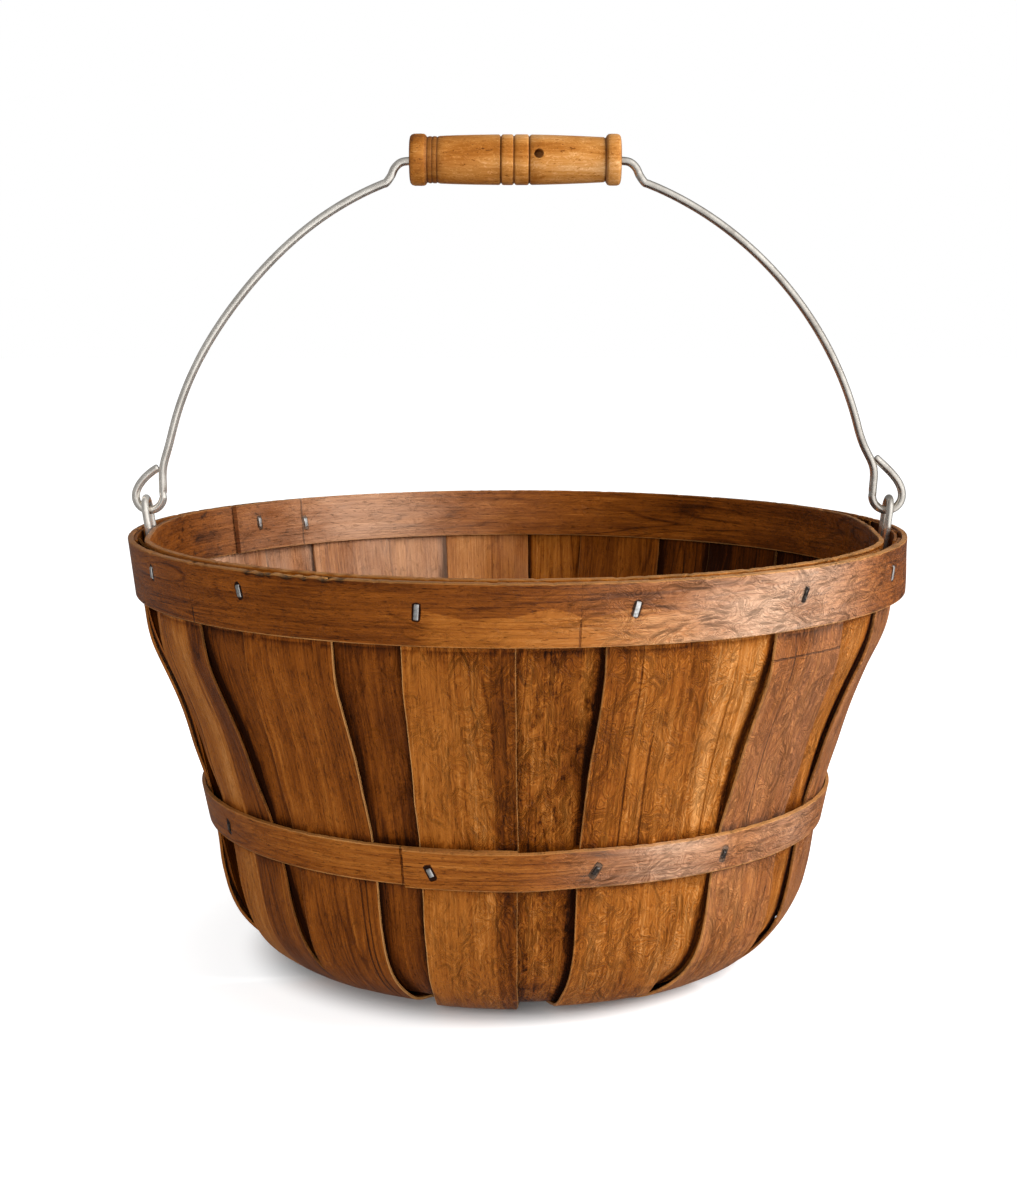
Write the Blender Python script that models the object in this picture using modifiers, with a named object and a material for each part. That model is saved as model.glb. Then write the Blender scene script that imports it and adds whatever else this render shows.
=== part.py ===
"""A splint basket with a swinging wire bail and a turned wooden grip.

Fourteen long veneer splints cross under the floor and turn up the wall, seven outer ones and seven inner
ones. Two hoops clamp their tops, a third hoop girds the waist, and two wire ears between the top hoops
carry the bail. Sizes are in metres. +Z is up, the floor lies on z = 0, the rim is centred over the
origin, and the ears stand on the X axis. Angles round the basket are measured from the front, -Y,
towards +X.
"""
import math

import bmesh
import bpy
from mathutils import Matrix, Vector

# Wall outline, on the outer face of the outer splints. The shoulder and the hoops' seat hang from the rim
FLOOR_RADIUS = 0.093
CORNER_RADIUS = 0.056
CORNER_LEAN = math.radians(13.0)
WAIST_HEIGHT = 0.084
WAIST_RADIUS = 0.1556
WAIST_LEAN = math.radians(10.5)
RIM_HEIGHT = 0.2169
RIM_RADIUS = 0.1898
RIM_LEAN = math.radians(6.65)
SEAT_MARGIN = 0.0031
SHOULDER_DROP = 0.036
SHOULDER_INSET = 0.0102
SHOULDER_LEAN = math.radians(20.0)

# Veneer splints
VENEER = 0.0014
VENEER_GAP = 0.00035
SPLINT_FLOOR_WIDTH = 0.045
SPLINT_RIM_WIDTH = 0.050
SPLINT_SETBACK = 0.0008
SPLINTS_PER_LAYER = 7
FIRST_OUTER_ANGLE = math.radians(-7.5)
OUTER_TURNS = (0.0, 0.8, 1.6, 1.2, 0.0, 1.2, 0.6)
INNER_TURNS = (0.0, 0.6, 1.0, 0.6, 0.4, 1.0, 0.6)

# Where the crossing splints climb over each other on the floor, as plan radii
CLIMB_END_RADIUS = 0.053
CLIMB_START_RADIUS = 0.105
STEP_END_RADIUS = 0.108
STEP_START_RADIUS = 0.126
PARTING_END_RADIUS = 0.128
PARTING_START_RADIUS = 0.145

# Hoops
HOOP_GAP = 0.00035
TOP_HOOP_WIDTH = 0.0278
OUTER_HOOP_THICKNESS = 0.0028
INNER_HOOP_THICKNESS = 0.0026
INNER_HOOP_WIDTH = 0.0262
MIDDLE_HOOP_WIDTH = 0.0182
MIDDLE_HOOP_THICKNESS = 0.0020
HOOP_LAP_LENGTH = 0.050
HOOP_LAP_RAMP = 0.030
OUTER_LAP_ANGLE = math.radians(126.0)
INNER_LAP_ANGLE = math.radians(-121.6)
MIDDLE_LAP_ANGLE = math.radians(-18.0)

# Bail wire, its eyes and the two ears
WIRE_DIAMETER = 0.0037
WIRE_GAP = 0.0004
PIVOT_RISE = 0.0091
BAIL_CENTRE_DROP = 0.0036
EYE_RADIUS = 0.0069
EYE_INSET = 0.0011
EYE_TAIL_HEIGHT = 0.0215
EAR_WIRE_DIAMETER = 0.0034
EAR_HALF_WIDTH = 0.0065
EAR_RISE = 0.0062
EAR_FOOT_DROP = 0.0028
EAR_FOOT_LENGTH = 0.0075
EAR_BEND_RADIUS = 0.003
EAR_POCKET_WIDTH = 0.042
EAR_POCKET_RAMP = 0.040
JOG_RUN = 0.0135
JOG_RISE = 0.0116
JOG_LEAD = 0.004

# Turned grip
GRIP_LENGTH = 0.104
GRIP_RADIUS = 0.0126
GRIP_BORE_RADIUS = 0.0024
GRIP_HOLE_RADIUS = 0.0024
GRIP_HOLE_OFFSET = 0.0115
GRIP_HOLE_TILT = math.radians(12.0)

# Counts
ACROSS_STEPS = 3
CENTRE_STEPS = 2
CLIMB_STEPS = 4
CORNER_STEPS = 6
LOWER_WALL_STEPS = 2
UPPER_WALL_STEPS = 3
SHOULDER_STEPS = 2
HOOP_STEPS = 76
BAIL_ARC_STEPS = 34
EYE_STEPS = 10
BEND_STEPS = 4
EAR_ARC_STEPS = 10
JOG_STEPS = 3
GRIP_STEPS = 24
HOLE_STEPS = 16

# Order in which each layer's splints pass over each other, for neighbours and for the whole stack
NEIGHBOUR_LEVELS = (0, 1, 0, 1, 0, 1, 2)
OUTER_STACK = (0, 3, 1, 4, 2, 5, 6)
INNER_STACK = (9, 10, 7, 11, 8, 12, 13)
INNER_FLOOR_LEVEL = 2

# Grip outline: place along the length and radius, as shares of both
GRIP_OUTLINE_SHARES = (
    (-0.500, 0.90), (-0.492, 1.00), (-0.428, 1.00), (-0.420, 0.93), (-0.392, 0.90), (-0.362, 0.92),
    (-0.356, 0.87), (-0.348, 0.92), (-0.220, 0.955), (-0.076, 0.965), (-0.068, 0.90), (-0.060, 0.965),
    (-0.010, 0.965), (-0.003, 0.90), (0.004, 0.965), (0.060, 0.965), (0.068, 0.90), (0.076, 0.960),
    (0.230, 0.935), (0.420, 0.865), (0.426, 0.84), (0.434, 0.98), (0.492, 0.99), (0.500, 0.90),
)
# The wire's step up to the grip, as shares of its run and rise
JOG_SHARES = ((0.0, 0.0), (0.24, 0.32), (0.40, 0.68), (0.66, 0.93), (1.0, 1.0))

HALF_TURN = math.pi
FULL_TURN = 2.0 * math.pi
PITCH = VENEER + VENEER_GAP
WALL_DEPTH = PITCH + VENEER
SPACING = FULL_TURN / (2 * SPLINTS_PER_LAYER)
SEAT_DEPTH = TOP_HOOP_WIDTH + SEAT_MARGIN
SEAT_HEIGHT = RIM_HEIGHT - SEAT_DEPTH
SEAT_RADIUS = RIM_RADIUS - SEAT_DEPTH * math.tan(RIM_LEAN)
SHOULDER_HEIGHT = SEAT_HEIGHT - SHOULDER_DROP
SHOULDER_RADIUS = SEAT_RADIUS - SHOULDER_INSET
PIVOT_HEIGHT = RIM_HEIGHT + PIVOT_RISE
BAIL_CENTRE_HEIGHT = PIVOT_HEIGHT - BAIL_CENTRE_DROP


def smooth_step(value, start, end):
    """0 at start, 1 at end, level at both."""
    share = min(max((value - start) / (end - start), 0.0), 1.0)
    return share * share * (3.0 - 2.0 * share)


def corner_end():
    """Radius and height at which the rounded corner meets the wall."""
    sweep = HALF_TURN / 2.0 - CORNER_LEAN
    radius = FLOOR_RADIUS + CORNER_RADIUS * math.sin(sweep)
    return radius, CORNER_RADIUS * (1.0 - math.cos(sweep))


def wall_knots():
    """Height, radius and slope at the places that shape the wall above the corner."""
    radius, height = corner_end()
    top_slope = math.tan(RIM_LEAN)
    return (
        (height, radius, math.tan(CORNER_LEAN)),
        (WAIST_HEIGHT, WAIST_RADIUS, math.tan(WAIST_LEAN)),
        (SHOULDER_HEIGHT, SHOULDER_RADIUS, math.tan(SHOULDER_LEAN)),
        (SEAT_HEIGHT, SEAT_RADIUS, top_slope),
        (RIM_HEIGHT, RIM_RADIUS, top_slope),
    )


def wall_point(height):
    """Radius and slope of the wall outline at a height above the corner."""
    knots = wall_knots()
    index = 0
    while index < len(knots) - 2 and height > knots[index + 1][0]:
        index += 1
    low, low_radius, low_slope = knots[index]
    high, high_radius, high_slope = knots[index + 1]
    rise = high - low
    share = (height - low) / rise
    chord = (high_radius - low_radius) / rise
    bend_low = low_slope - chord
    bend_high = high_slope - chord
    bow = share * (1.0 - share)
    radius = low_radius + rise * (chord * share + bow * (bend_low * (1.0 - share) - bend_high * share))
    slope = chord + bend_low * (1.0 - share) * (1.0 - 3.0 * share) + bend_high * share * (3.0 * share - 2.0)
    return radius, slope


def wall_station(height):
    """Radius, height and inward normal of the outline at a height on the wall."""
    radius, slope = wall_point(height)
    length = math.hypot(1.0, slope)
    return radius, height, -1.0 / length, slope / length


def steps_between(start, end, count):
    """The places after start, up to and with end, in equal steps."""
    return [start + (end - start) * step / count for step in range(1, count + 1)]


def outline_stations():
    """Radius, height and inward normal along half a splint, from the floor's centre to its top end."""
    stations = [(radius, 0.0, 0.0, 1.0) for radius in [0.0] + steps_between(0.0, CLIMB_END_RADIUS, CENTRE_STEPS)]
    for radius in steps_between(CLIMB_END_RADIUS, FLOOR_RADIUS, CLIMB_STEPS):
        stations.append((radius, 0.0, 0.0, 1.0))
    for angle in steps_between(0.0, HALF_TURN / 2.0 - CORNER_LEAN, CORNER_STEPS):
        radius = FLOOR_RADIUS + CORNER_RADIUS * math.sin(angle)
        height = CORNER_RADIUS * (1.0 - math.cos(angle))
        stations.append((radius, height, -math.sin(angle), math.cos(angle)))
    low = WAIST_HEIGHT - MIDDLE_HOOP_WIDTH / 2.0
    high = WAIST_HEIGHT + MIDDLE_HOOP_WIDTH / 2.0
    heights = steps_between(corner_end()[1], low, LOWER_WALL_STEPS) + [high]
    heights += steps_between(high, SHOULDER_HEIGHT, UPPER_WALL_STEPS)
    heights += steps_between(SHOULDER_HEIGHT, SEAT_HEIGHT, SHOULDER_STEPS)
    heights.append(RIM_HEIGHT - SPLINT_SETBACK)
    return stations + [wall_station(height) for height in heights]


def outer_level(index, radius):
    """How many veneers an outer splint lies above the outline at a plan radius."""
    near = NEIGHBOUR_LEVELS[index]
    stepped = near * (1.0 - smooth_step(radius, STEP_END_RADIUS, STEP_START_RADIUS))
    climbed = (OUTER_STACK[index] - near) * (1.0 - smooth_step(radius, CLIMB_END_RADIUS, CLIMB_START_RADIUS))
    return stepped + climbed


def inner_level(index, radius):
    """How many veneers an inner splint lies above the outline at a plan radius."""
    near = NEIGHBOUR_LEVELS[index]
    parted = 1.0 - smooth_step(radius, PARTING_END_RADIUS, PARTING_START_RADIUS)
    stepped = near * (1.0 - smooth_step(radius, STEP_END_RADIUS, STEP_START_RADIUS))
    rise = INNER_STACK[index] - INNER_FLOOR_LEVEL - near
    climbed = rise * (1.0 - smooth_step(radius, CLIMB_END_RADIUS, CLIMB_START_RADIUS))
    return 1.0 + (INNER_FLOOR_LEVEL - 1.0) * parted + stepped + climbed


def splint_width(height):
    """The splint widens evenly from the floor to the rim."""
    return SPLINT_FLOOR_WIDTH + (SPLINT_RIM_WIDTH - SPLINT_FLOOR_WIDTH) * height / RIM_HEIGHT


def splint_point(station, side, share, angle, level):
    """A point of a splint: side is 1 or -1 for its two ends, share runs across its width."""
    radius, height, normal_out, normal_up = station
    across = share * splint_width(height)
    half_width = SPLINT_FLOOR_WIDTH / 2.0
    if radius > CLIMB_END_RADIUS / 2.0:
        round_row = math.sqrt(max(radius * radius - across * across, 0.0))
        roundness = smooth_step(radius, CLIMB_END_RADIUS / 2.0, max(CLIMB_END_RADIUS, half_width))
        along = radius + (round_row - radius) * roundness
    else:
        along = radius
    plan = Vector((across, -side * along, 0.0))
    lift = level * PITCH
    if plan.length > 0.0:
        plan *= 1.0 + normal_out * lift / plan.length
    plan.z = height + normal_up * lift
    return Matrix.Rotation(angle, 4, 'Z') @ plan


def new_material(name, colour, roughness, metallic):
    """A plain finish."""
    material = bpy.data.materials.new(name)
    material.use_nodes = True
    shader = material.node_tree.nodes['Principled BSDF']
    shader.inputs['Base Color'].default_value = (*colour, 1.0)
    shader.inputs['Roughness'].default_value = roughness
    shader.inputs['Metallic'].default_value = metallic
    return material


def new_object(name, data, collection, material):
    """An object in its collection, with its own material."""
    item = bpy.data.objects.new(name, data)
    collection.objects.link(item)
    if material:
        item.data.materials.append(material)
    return item


def strip_grid(rows, columns, place):
    """An open strip of rows by columns, each corner set by place(row, column)."""
    mesh = bpy.data.meshes.new('strip')
    sheet = bmesh.new()
    bmesh.ops.create_grid(sheet, x_segments=columns, y_segments=rows, size=0.5)
    sheet.verts.ensure_lookup_table()
    ordered = sorted(sheet.verts, key=lambda vert: (round(vert.co.y, 6), round(vert.co.x, 6)))
    for index, vert in enumerate(ordered):
        row, column = divmod(index, columns + 1)
        vert.co = place(row, column)
    sheet.to_mesh(mesh)
    sheet.free()
    mesh.shade_smooth()
    return mesh


def thicken(item, thickness):
    """Give a strip its thickness, on the side away from its normals."""
    shell = item.modifiers.new('thickness', 'SOLIDIFY')
    shell.thickness = thickness
    shell.offset = -1.0
    shell.use_even_offset = True


def make_splint(name, index, angle, level_at, collection, material):
    """One continuous splint, up one side of the basket, across the floor and up the other."""
    half = outline_stations()
    stations = [(station, -1) for station in reversed(half[1:])] + [(station, 1) for station in half]

    def place(row, column):
        station, side = stations[row]
        share = column / ACROSS_STEPS - 0.5
        return splint_point(station, side, share, angle, level_at(index, station[0]))

    mesh = strip_grid(len(stations) - 1, ACROSS_STEPS, place)
    item = new_object(name, mesh, collection, material)
    thicken(item, VENEER)
    return item


def lap_level(angle, lap, ramp):
    """1 where a hoop's strip lies over its own other end, falling to 0 after the lap."""
    return 1.0 - smooth_step(angle, lap, lap + ramp)


def pocket_depth(angle, radius):
    """How far the inner top hoop bows inward to leave room for the ears."""
    away = min(abs(math.remainder(angle - side * HALF_TURN / 2.0, FULL_TURN)) for side in (1, -1))
    distance = away * radius
    flat = EAR_POCKET_WIDTH / 2.0
    room = EAR_WIRE_DIAMETER + HOOP_GAP
    return room * (1.0 - smooth_step(distance, flat, flat + EAR_POCKET_RAMP))


def make_hoop(name, low, high, thickness, start, inward, collection, material):
    """A flat strip bent into a hoop whose ends lap. An inward hoop lies inside the splints."""
    radius = wall_point((low + high) / 2.0)[0]
    lap = HOOP_LAP_LENGTH / radius
    ramp = HOOP_LAP_RAMP / radius
    sweep = FULL_TURN + lap

    def place(row, column):
        turned = sweep * row / HOOP_STEPS
        angle = start - turned if inward else start + turned
        station = wall_station(low + (high - low) * column)
        over = lap_level(turned, lap, ramp) * (thickness + HOOP_GAP)
        if inward:
            depth = WALL_DEPTH + HOOP_GAP + over + pocket_depth(angle, radius)
        else:
            depth = -HOOP_GAP - over
        reach = station[0] + station[2] * depth
        return Vector((reach * math.sin(angle), -reach * math.cos(angle), station[1] + station[3] * depth))

    mesh = strip_grid(HOOP_STEPS, 1, place)
    item = new_object(name, mesh, collection, material)
    thicken(item, thickness)
    return item


def make_wire(name, points, diameter, origin, collection, material):
    """A round wire along a chain of points, which are given from the origin of the part."""
    curve = bpy.data.curves.new(name, 'CURVE')
    curve.dimensions = '3D'
    curve.bevel_depth = diameter / 2.0
    curve.bevel_resolution = 2
    curve.use_fill_caps = True
    spline = curve.splines.new('POLY')
    spline.points.add(len(points) - 1)
    for target, point in zip(spline.points, points):
        target.co = (*(Vector(point) - origin), 1.0)
    spline.use_smooth = True
    item = new_object(name, curve, collection, material)
    item.location = origin
    return item


def arc_points(centre, radius, start, end, count):
    """Points of an arc in a plane, as pairs, from start to end."""
    angles = [start + (end - start) * step / count for step in range(count + 1)]
    return [(centre[0] + radius * math.cos(angle), centre[1] + radius * math.sin(angle)) for angle in angles]


def smooth_through(points, steps):
    """Points of a smooth curve through the inner points of a list, whose first and last steer its ends."""
    result = []
    for before, start, end, after in zip(points, points[1:], points[2:], points[3:]):
        for step in range(steps):
            share = step / steps
            pair = []
            for a, b, c, d in zip(before, start, end, after):
                lean = (c - a) / 2.0
                far_lean = (d - b) / 2.0
                curve = 2.0 * b - 2.0 * c + lean + far_lean
                bend = 3.0 * (c - b) - 2.0 * lean - far_lean
                pair.append(b + share * (lean + share * (bend + share * curve)))
            result.append(tuple(pair))
    result.append(points[-2])
    return result


def ear_radius(height):
    """How far out the ear's wire stands at a height, in line with the top of the wall."""
    radius, slope = wall_point(min(height, RIM_HEIGHT))
    behind = WALL_DEPTH + HOOP_GAP + EAR_WIRE_DIAMETER / 2.0
    return radius + slope * max(height - RIM_HEIGHT, 0.0) - behind


def bail_radius():
    """Radius of the bail's round part, which sets its eyes on the ears."""
    width = ear_radius(PIVOT_HEIGHT) - EYE_INSET - EYE_RADIUS
    return math.hypot(width, EYE_RADIUS + BAIL_CENTRE_DROP)


def bail_width_at(height):
    """Half the bail's width at a height on its round part."""
    return math.sqrt(bail_radius() ** 2 - (height - BAIL_CENTRE_HEIGHT) ** 2)


def grip_height():
    """Height of the grip's axis, above the top of the bail's round part."""
    run = GRIP_LENGTH / 2.0 + JOG_RUN
    return BAIL_CENTRE_HEIGHT + math.sqrt(bail_radius() ** 2 - run ** 2) + JOG_RISE


def half_bail():
    """The bail on the +X side as width and height pairs, from the eye's tail to the grip's middle."""
    eye_height = PIVOT_HEIGHT + EYE_RADIUS
    eye_centre = (bail_width_at(eye_height) + EYE_RADIUS, eye_height)
    tail_height = PIVOT_HEIGHT + EYE_TAIL_HEIGHT
    tail = (bail_width_at(tail_height) + WIRE_DIAMETER + WIRE_GAP, tail_height)
    reach = math.hypot(tail[0] - eye_centre[0], tail[1] - eye_centre[1])
    toward = math.atan2(tail[1] - eye_centre[1], tail[0] - eye_centre[0])
    leave = toward - math.acos(EYE_RADIUS / reach)
    points = [tail] + arc_points(eye_centre, EYE_RADIUS, leave, -HALF_TURN, EYE_STEPS)
    step_run = GRIP_LENGTH / 2.0 + JOG_RUN
    radius = bail_radius()
    low = math.asin((eye_height - BAIL_CENTRE_HEIGHT) / radius)
    high = math.acos(step_run / radius)
    arc = arc_points((0.0, BAIL_CENTRE_HEIGHT), radius, low, high, BAIL_ARC_STEPS // 2)
    step_height = arc[-1][1]
    jog = [(step_run - JOG_RUN * run, step_height + JOG_RISE * rise) for run, rise in JOG_SHARES]
    inside = (jog[-1][0] - JOG_LEAD, jog[-1][1])
    return points + arc[1:-1] + smooth_through([arc[-2]] + jog + [inside], JOG_STEPS)


def make_bail(collection, material):
    """The swinging wire: two eyes, the round bow and the steps that hold the grip."""
    half = half_bail()
    right = [(width, 0.0, height) for width, height in half]
    left = [(-width, 0.0, height) for width, height in reversed(half)]
    hinge = Vector((0.0, 0.0, PIVOT_HEIGHT))
    return make_wire('bail_wire', right + left, WIRE_DIAMETER, hinge, collection, material)


def ear_points(side):
    """The ear's path: a foot turned in under the inner hoop, a leg, the loop, a leg and a foot."""
    foot_height = RIM_HEIGHT - INNER_HOOP_WIDTH - EAR_FOOT_DROP
    loop_height = PIVOT_HEIGHT + EAR_RISE - EAR_HALF_WIDTH
    bend_height = foot_height + EAR_BEND_RADIUS
    knee = ear_radius(bend_height)
    bend = arc_points((knee - EAR_BEND_RADIUS, bend_height), EAR_BEND_RADIUS, -HALF_TURN / 2.0, 0.0, BEND_STEPS)
    leg = [(knee - EAR_FOOT_LENGTH, foot_height)] + bend + [(ear_radius(RIM_HEIGHT), RIM_HEIGHT)]
    loop = arc_points((0.0, loop_height), EAR_HALF_WIDTH, 0.0, HALF_TURN, EAR_ARC_STEPS)
    path = [(reach, EAR_HALF_WIDTH, height) for reach, height in leg]
    path += [(ear_radius(height), along, height) for along, height in loop]
    path += [(reach, -EAR_HALF_WIDTH, height) for reach, height in reversed(leg)]
    return [(side * reach, along, height) for reach, along, height in path]


def make_ear(name, side, collection, material):
    """One wire ear, held between the splints and the inner top hoop."""
    rim_centre = Vector((0.0, 0.0, RIM_HEIGHT))
    return make_wire(name, ear_points(side), EAR_WIRE_DIAMETER, rim_centre, collection, material)


def make_grip(parts, cutters, material):
    """The turned grip, bored for the wire, with a small hole drilled in its side."""
    outline = [(GRIP_RADIUS * share, -GRIP_LENGTH * place) for place, share in GRIP_OUTLINE_SHARES]
    half = GRIP_LENGTH / 2.0
    ring = outline + [(GRIP_BORE_RADIUS, -half), (GRIP_BORE_RADIUS, half)]
    mesh = bpy.data.meshes.new('grip')
    edges = [(index, (index + 1) % len(ring)) for index in range(len(ring))]
    mesh.from_pydata([(radius, 0.0, place) for radius, place in ring], edges, [])
    grip = new_object('grip', mesh, parts, material)
    turn = grip.modifiers.new('turning', 'SCREW')
    turn.steps = GRIP_STEPS
    turn.render_steps = GRIP_STEPS
    turn.use_merge_vertices = True
    turn.merge_threshold = 0.00001
    drill_mesh = bpy.data.meshes.new('grip_drill')
    drill = bmesh.new()
    depth = 2.0 * GRIP_RADIUS
    bmesh.ops.create_cone(drill, cap_ends=True, segments=HOLE_STEPS, radius1=GRIP_HOLE_RADIUS,
                          radius2=GRIP_HOLE_RADIUS, depth=depth)
    drill.transform(Matrix.Translation((0.0, 0.0, depth / 2.0)))
    drill.transform(Matrix.Rotation(HALF_TURN / 2.0 - GRIP_HOLE_TILT, 4, 'X'))
    drill.to_mesh(drill_mesh)
    drill.free()
    cutter = new_object('grip_drill', drill_mesh, cutters, None)
    cutter.location = (GRIP_HOLE_OFFSET, 0.0, grip_height())
    cutter.hide_render = True
    cutter.display_type = 'WIRE'
    cut = grip.modifiers.new('side_hole', 'BOOLEAN')
    cut.operation = 'DIFFERENCE'
    cut.object = cutter
    grip.rotation_euler = (0.0, -HALF_TURN / 2.0, 0.0)
    return grip


def place_moving_pieces(bail, grip, collection):
    """Hang the bail on an empty at its hinge, and the grip on an empty on the wire's axis."""
    hinge = bpy.data.objects.new('bail_hinge', None)
    axle = bpy.data.objects.new('grip_axle', None)
    for empty in (hinge, axle):
        collection.objects.link(empty)
    hinge.location = (0.0, 0.0, PIVOT_HEIGHT)
    axle.parent = hinge
    axle.location = (0.0, 0.0, grip_height() - PIVOT_HEIGHT)
    bail.parent = hinge
    bail.location = (0.0, 0.0, 0.0)
    grip.parent = axle


def clear_scene():
    """Start from an empty scene."""
    for item in list(bpy.data.objects):
        bpy.data.objects.remove(item, do_unlink=True)


def build():
    """The whole basket."""
    clear_scene()
    parts = bpy.data.collections.new('foraging_basket')
    cutters = bpy.data.collections.new('foraging_basket_cutters')
    for collection in (parts, cutters):
        bpy.context.scene.collection.children.link(collection)

    for index in range(SPLINTS_PER_LAYER):
        number = index + 1
        outer_wood = new_material(f'outer_splint_wood_{number}', (0.36, 0.17, 0.06), 0.55, 0.0)
        angle = FIRST_OUTER_ANGLE + SPACING * index + math.radians(OUTER_TURNS[index])
        make_splint(f'outer_splint_{number}', index, angle, outer_level, parts, outer_wood)
        inner_wood = new_material(f'inner_splint_wood_{number}', (0.25, 0.11, 0.04), 0.6, 0.0)
        angle = FIRST_OUTER_ANGLE + SPACING * (index + 0.5) + math.radians(INNER_TURNS[index])
        make_splint(f'inner_splint_{number}', index, angle, inner_level, parts, inner_wood)

    hoop_wood = (0.33, 0.14, 0.055)
    outer_low = RIM_HEIGHT - TOP_HOOP_WIDTH
    inner_low = RIM_HEIGHT - INNER_HOOP_WIDTH
    middle_low = WAIST_HEIGHT - MIDDLE_HOOP_WIDTH / 2.0
    make_hoop('top_hoop_outer', outer_low, RIM_HEIGHT, OUTER_HOOP_THICKNESS, OUTER_LAP_ANGLE, False, parts,
              new_material('top_hoop_outer_wood', hoop_wood, 0.5, 0.0))
    make_hoop('top_hoop_inner', inner_low, RIM_HEIGHT, INNER_HOOP_THICKNESS, INNER_LAP_ANGLE, True, parts,
              new_material('top_hoop_inner_wood', hoop_wood, 0.5, 0.0))
    make_hoop('middle_hoop', middle_low, middle_low + MIDDLE_HOOP_WIDTH, MIDDLE_HOOP_THICKNESS,
              MIDDLE_LAP_ANGLE, False, parts, new_material('middle_hoop_wood', hoop_wood, 0.5, 0.0))

    zinc = (0.55, 0.56, 0.57)
    make_ear('ear_left', -1, parts, new_material('ear_left_wire', zinc, 0.35, 1.0))
    make_ear('ear_right', 1, parts, new_material('ear_right_wire', zinc, 0.35, 1.0))
    bail = make_bail(parts, new_material('bail_wire', zinc, 0.35, 1.0))
    grip = make_grip(parts, cutters, new_material('grip_wood', (0.52, 0.27, 0.10), 0.5, 0.0))
    place_moving_pieces(bail, grip, parts)


build()
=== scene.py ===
# %% [markdown]
# # A splint basket with a wire bail
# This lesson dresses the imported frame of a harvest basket. The frame gives every piece its place, and each
# cell below makes one kind of piece finer than the frame has it: veneer splints, bent hoops, staples,
# galvanised wire and a turned grip. Lengths are in metres. +Z is up and the front looks along -Y. Angles
# round the basket are measured from the front towards +X.

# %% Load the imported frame
import math
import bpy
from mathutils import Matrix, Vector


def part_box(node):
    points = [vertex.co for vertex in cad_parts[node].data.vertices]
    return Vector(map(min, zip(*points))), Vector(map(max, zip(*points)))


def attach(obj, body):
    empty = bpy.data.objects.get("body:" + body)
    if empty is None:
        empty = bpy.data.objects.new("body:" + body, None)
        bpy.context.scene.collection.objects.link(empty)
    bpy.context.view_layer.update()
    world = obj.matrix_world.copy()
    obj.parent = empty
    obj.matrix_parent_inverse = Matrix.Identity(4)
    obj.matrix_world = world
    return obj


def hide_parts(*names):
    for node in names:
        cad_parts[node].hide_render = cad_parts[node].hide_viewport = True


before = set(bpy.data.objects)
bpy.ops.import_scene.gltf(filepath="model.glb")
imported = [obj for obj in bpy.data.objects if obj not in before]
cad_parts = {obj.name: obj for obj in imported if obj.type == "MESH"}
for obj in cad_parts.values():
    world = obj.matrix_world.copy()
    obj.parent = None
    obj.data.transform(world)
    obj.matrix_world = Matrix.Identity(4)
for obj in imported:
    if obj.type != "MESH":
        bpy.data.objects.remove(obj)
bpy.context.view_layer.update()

from types import SimpleNamespace

import bmesh
import bpy
import numpy as np
from mathutils import Vector, noise


# %% [markdown]
# ## Small helpers
# A material and a Geometry Nodes tree are both node trees, so one helper can add a node, set its fields and
# either fill or link its sockets. Writing it once keeps the later cells short.

# %% Helpers for node trees
def add(tree, kind, inputs=None, **settings):
    """A new node, whose sockets get a value or a link."""
    made = tree.nodes.new(kind)
    for name, value in settings.items():
        setattr(made, name, value)
    for key, value in (inputs or {}).items():
        if isinstance(value, bpy.types.NodeSocket):
            tree.links.new(value, made.inputs[key])
        else:
            made.inputs[key].default_value = value
    return made


def first(tree, kind, inputs=None, **settings):
    """The first output of a new node."""
    return add(tree, kind, inputs, **settings).outputs[0]


def calc(tree, operation, *values):
    """The result of one sum on numbers or sockets."""
    return first(tree, "ShaderNodeMath", dict(enumerate(values)), operation=operation)


def sums(tree):
    """Short names for the four sums in one tree."""
    kinds = ("ADD", "SUBTRACT", "MULTIPLY", "DIVIDE")
    return [lambda *values, kind=kind: calc(tree, kind, *values) for kind in kinds]


def total(tree, *values):
    """The sum of several numbers or sockets."""
    result = values[0]
    for value in values[1:]:
        result = calc(tree, "ADD", result, value)
    return result


def fade(tree, value, start, end, low=0.0, high=1.0):
    """low before start, high after end, and a smooth change between."""
    places = {"Value": value, "From Min": start, "From Max": end, "To Min": low, "To Max": high}
    return add(tree, "ShaderNodeMapRange", places, interpolation_type="SMOOTHSTEP").outputs["Result"]


def stretched(tree, vector, across, along, deep=1.0):
    """A place scaled differently across and along the grain."""
    return first(tree, "ShaderNodeVectorMath", {0: vector, 1: (across, along, deep)}, operation="MULTIPLY")


# %% Helpers for numbers and vertices
def smooth_step(value, start, end):
    """The same fade for plain numbers and arrays, from 0 to 1."""
    share = np.clip((np.asarray(value, float) - start) / (end - start), 0.0, 1.0)
    return share * share * (3.0 - 2.0 * share)


def turned_from(angle, centre):
    """Degrees from a centre to an angle, the short way round."""
    return (angle - centre + 180.0) % 360.0 - 180.0


def hill(angle, centre, spread):
    """1 at an angle, falling off round it."""
    return np.exp(-(turned_from(angle, centre) / spread) ** 2)


def angles_of(places):
    """Angle round the basket of each place, in degrees from the front."""
    return np.degrees(np.arctan2(places[:, 0], -places[:, 1]))


def vectors_of(data, field):
    """One stored vector of each vertex, as rows."""
    values = np.zeros(len(data) * 3, np.float32)
    data.foreach_get(field, values)
    return values.reshape(-1, 3)


def move_to(mesh, places):
    """Put the vertices at new places."""
    mesh.vertices.foreach_set("co", places.ravel())
    mesh.update()


print("half way through a fade from 2 to 4:", smooth_step(3.0, 2.0, 4.0))


# %% [markdown]
# ## The wall's outline
# Every splint follows one outline: flat under the floor, a round corner, then a wall that leans out, flares
# below the rim and stands steeper between the top hoops. The frame was made from the same sizes, so they are
# repeated here. The outline is worked out once as a table along its own length, and every later cell reads
# its radius, height and inward normal from that table.

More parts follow.
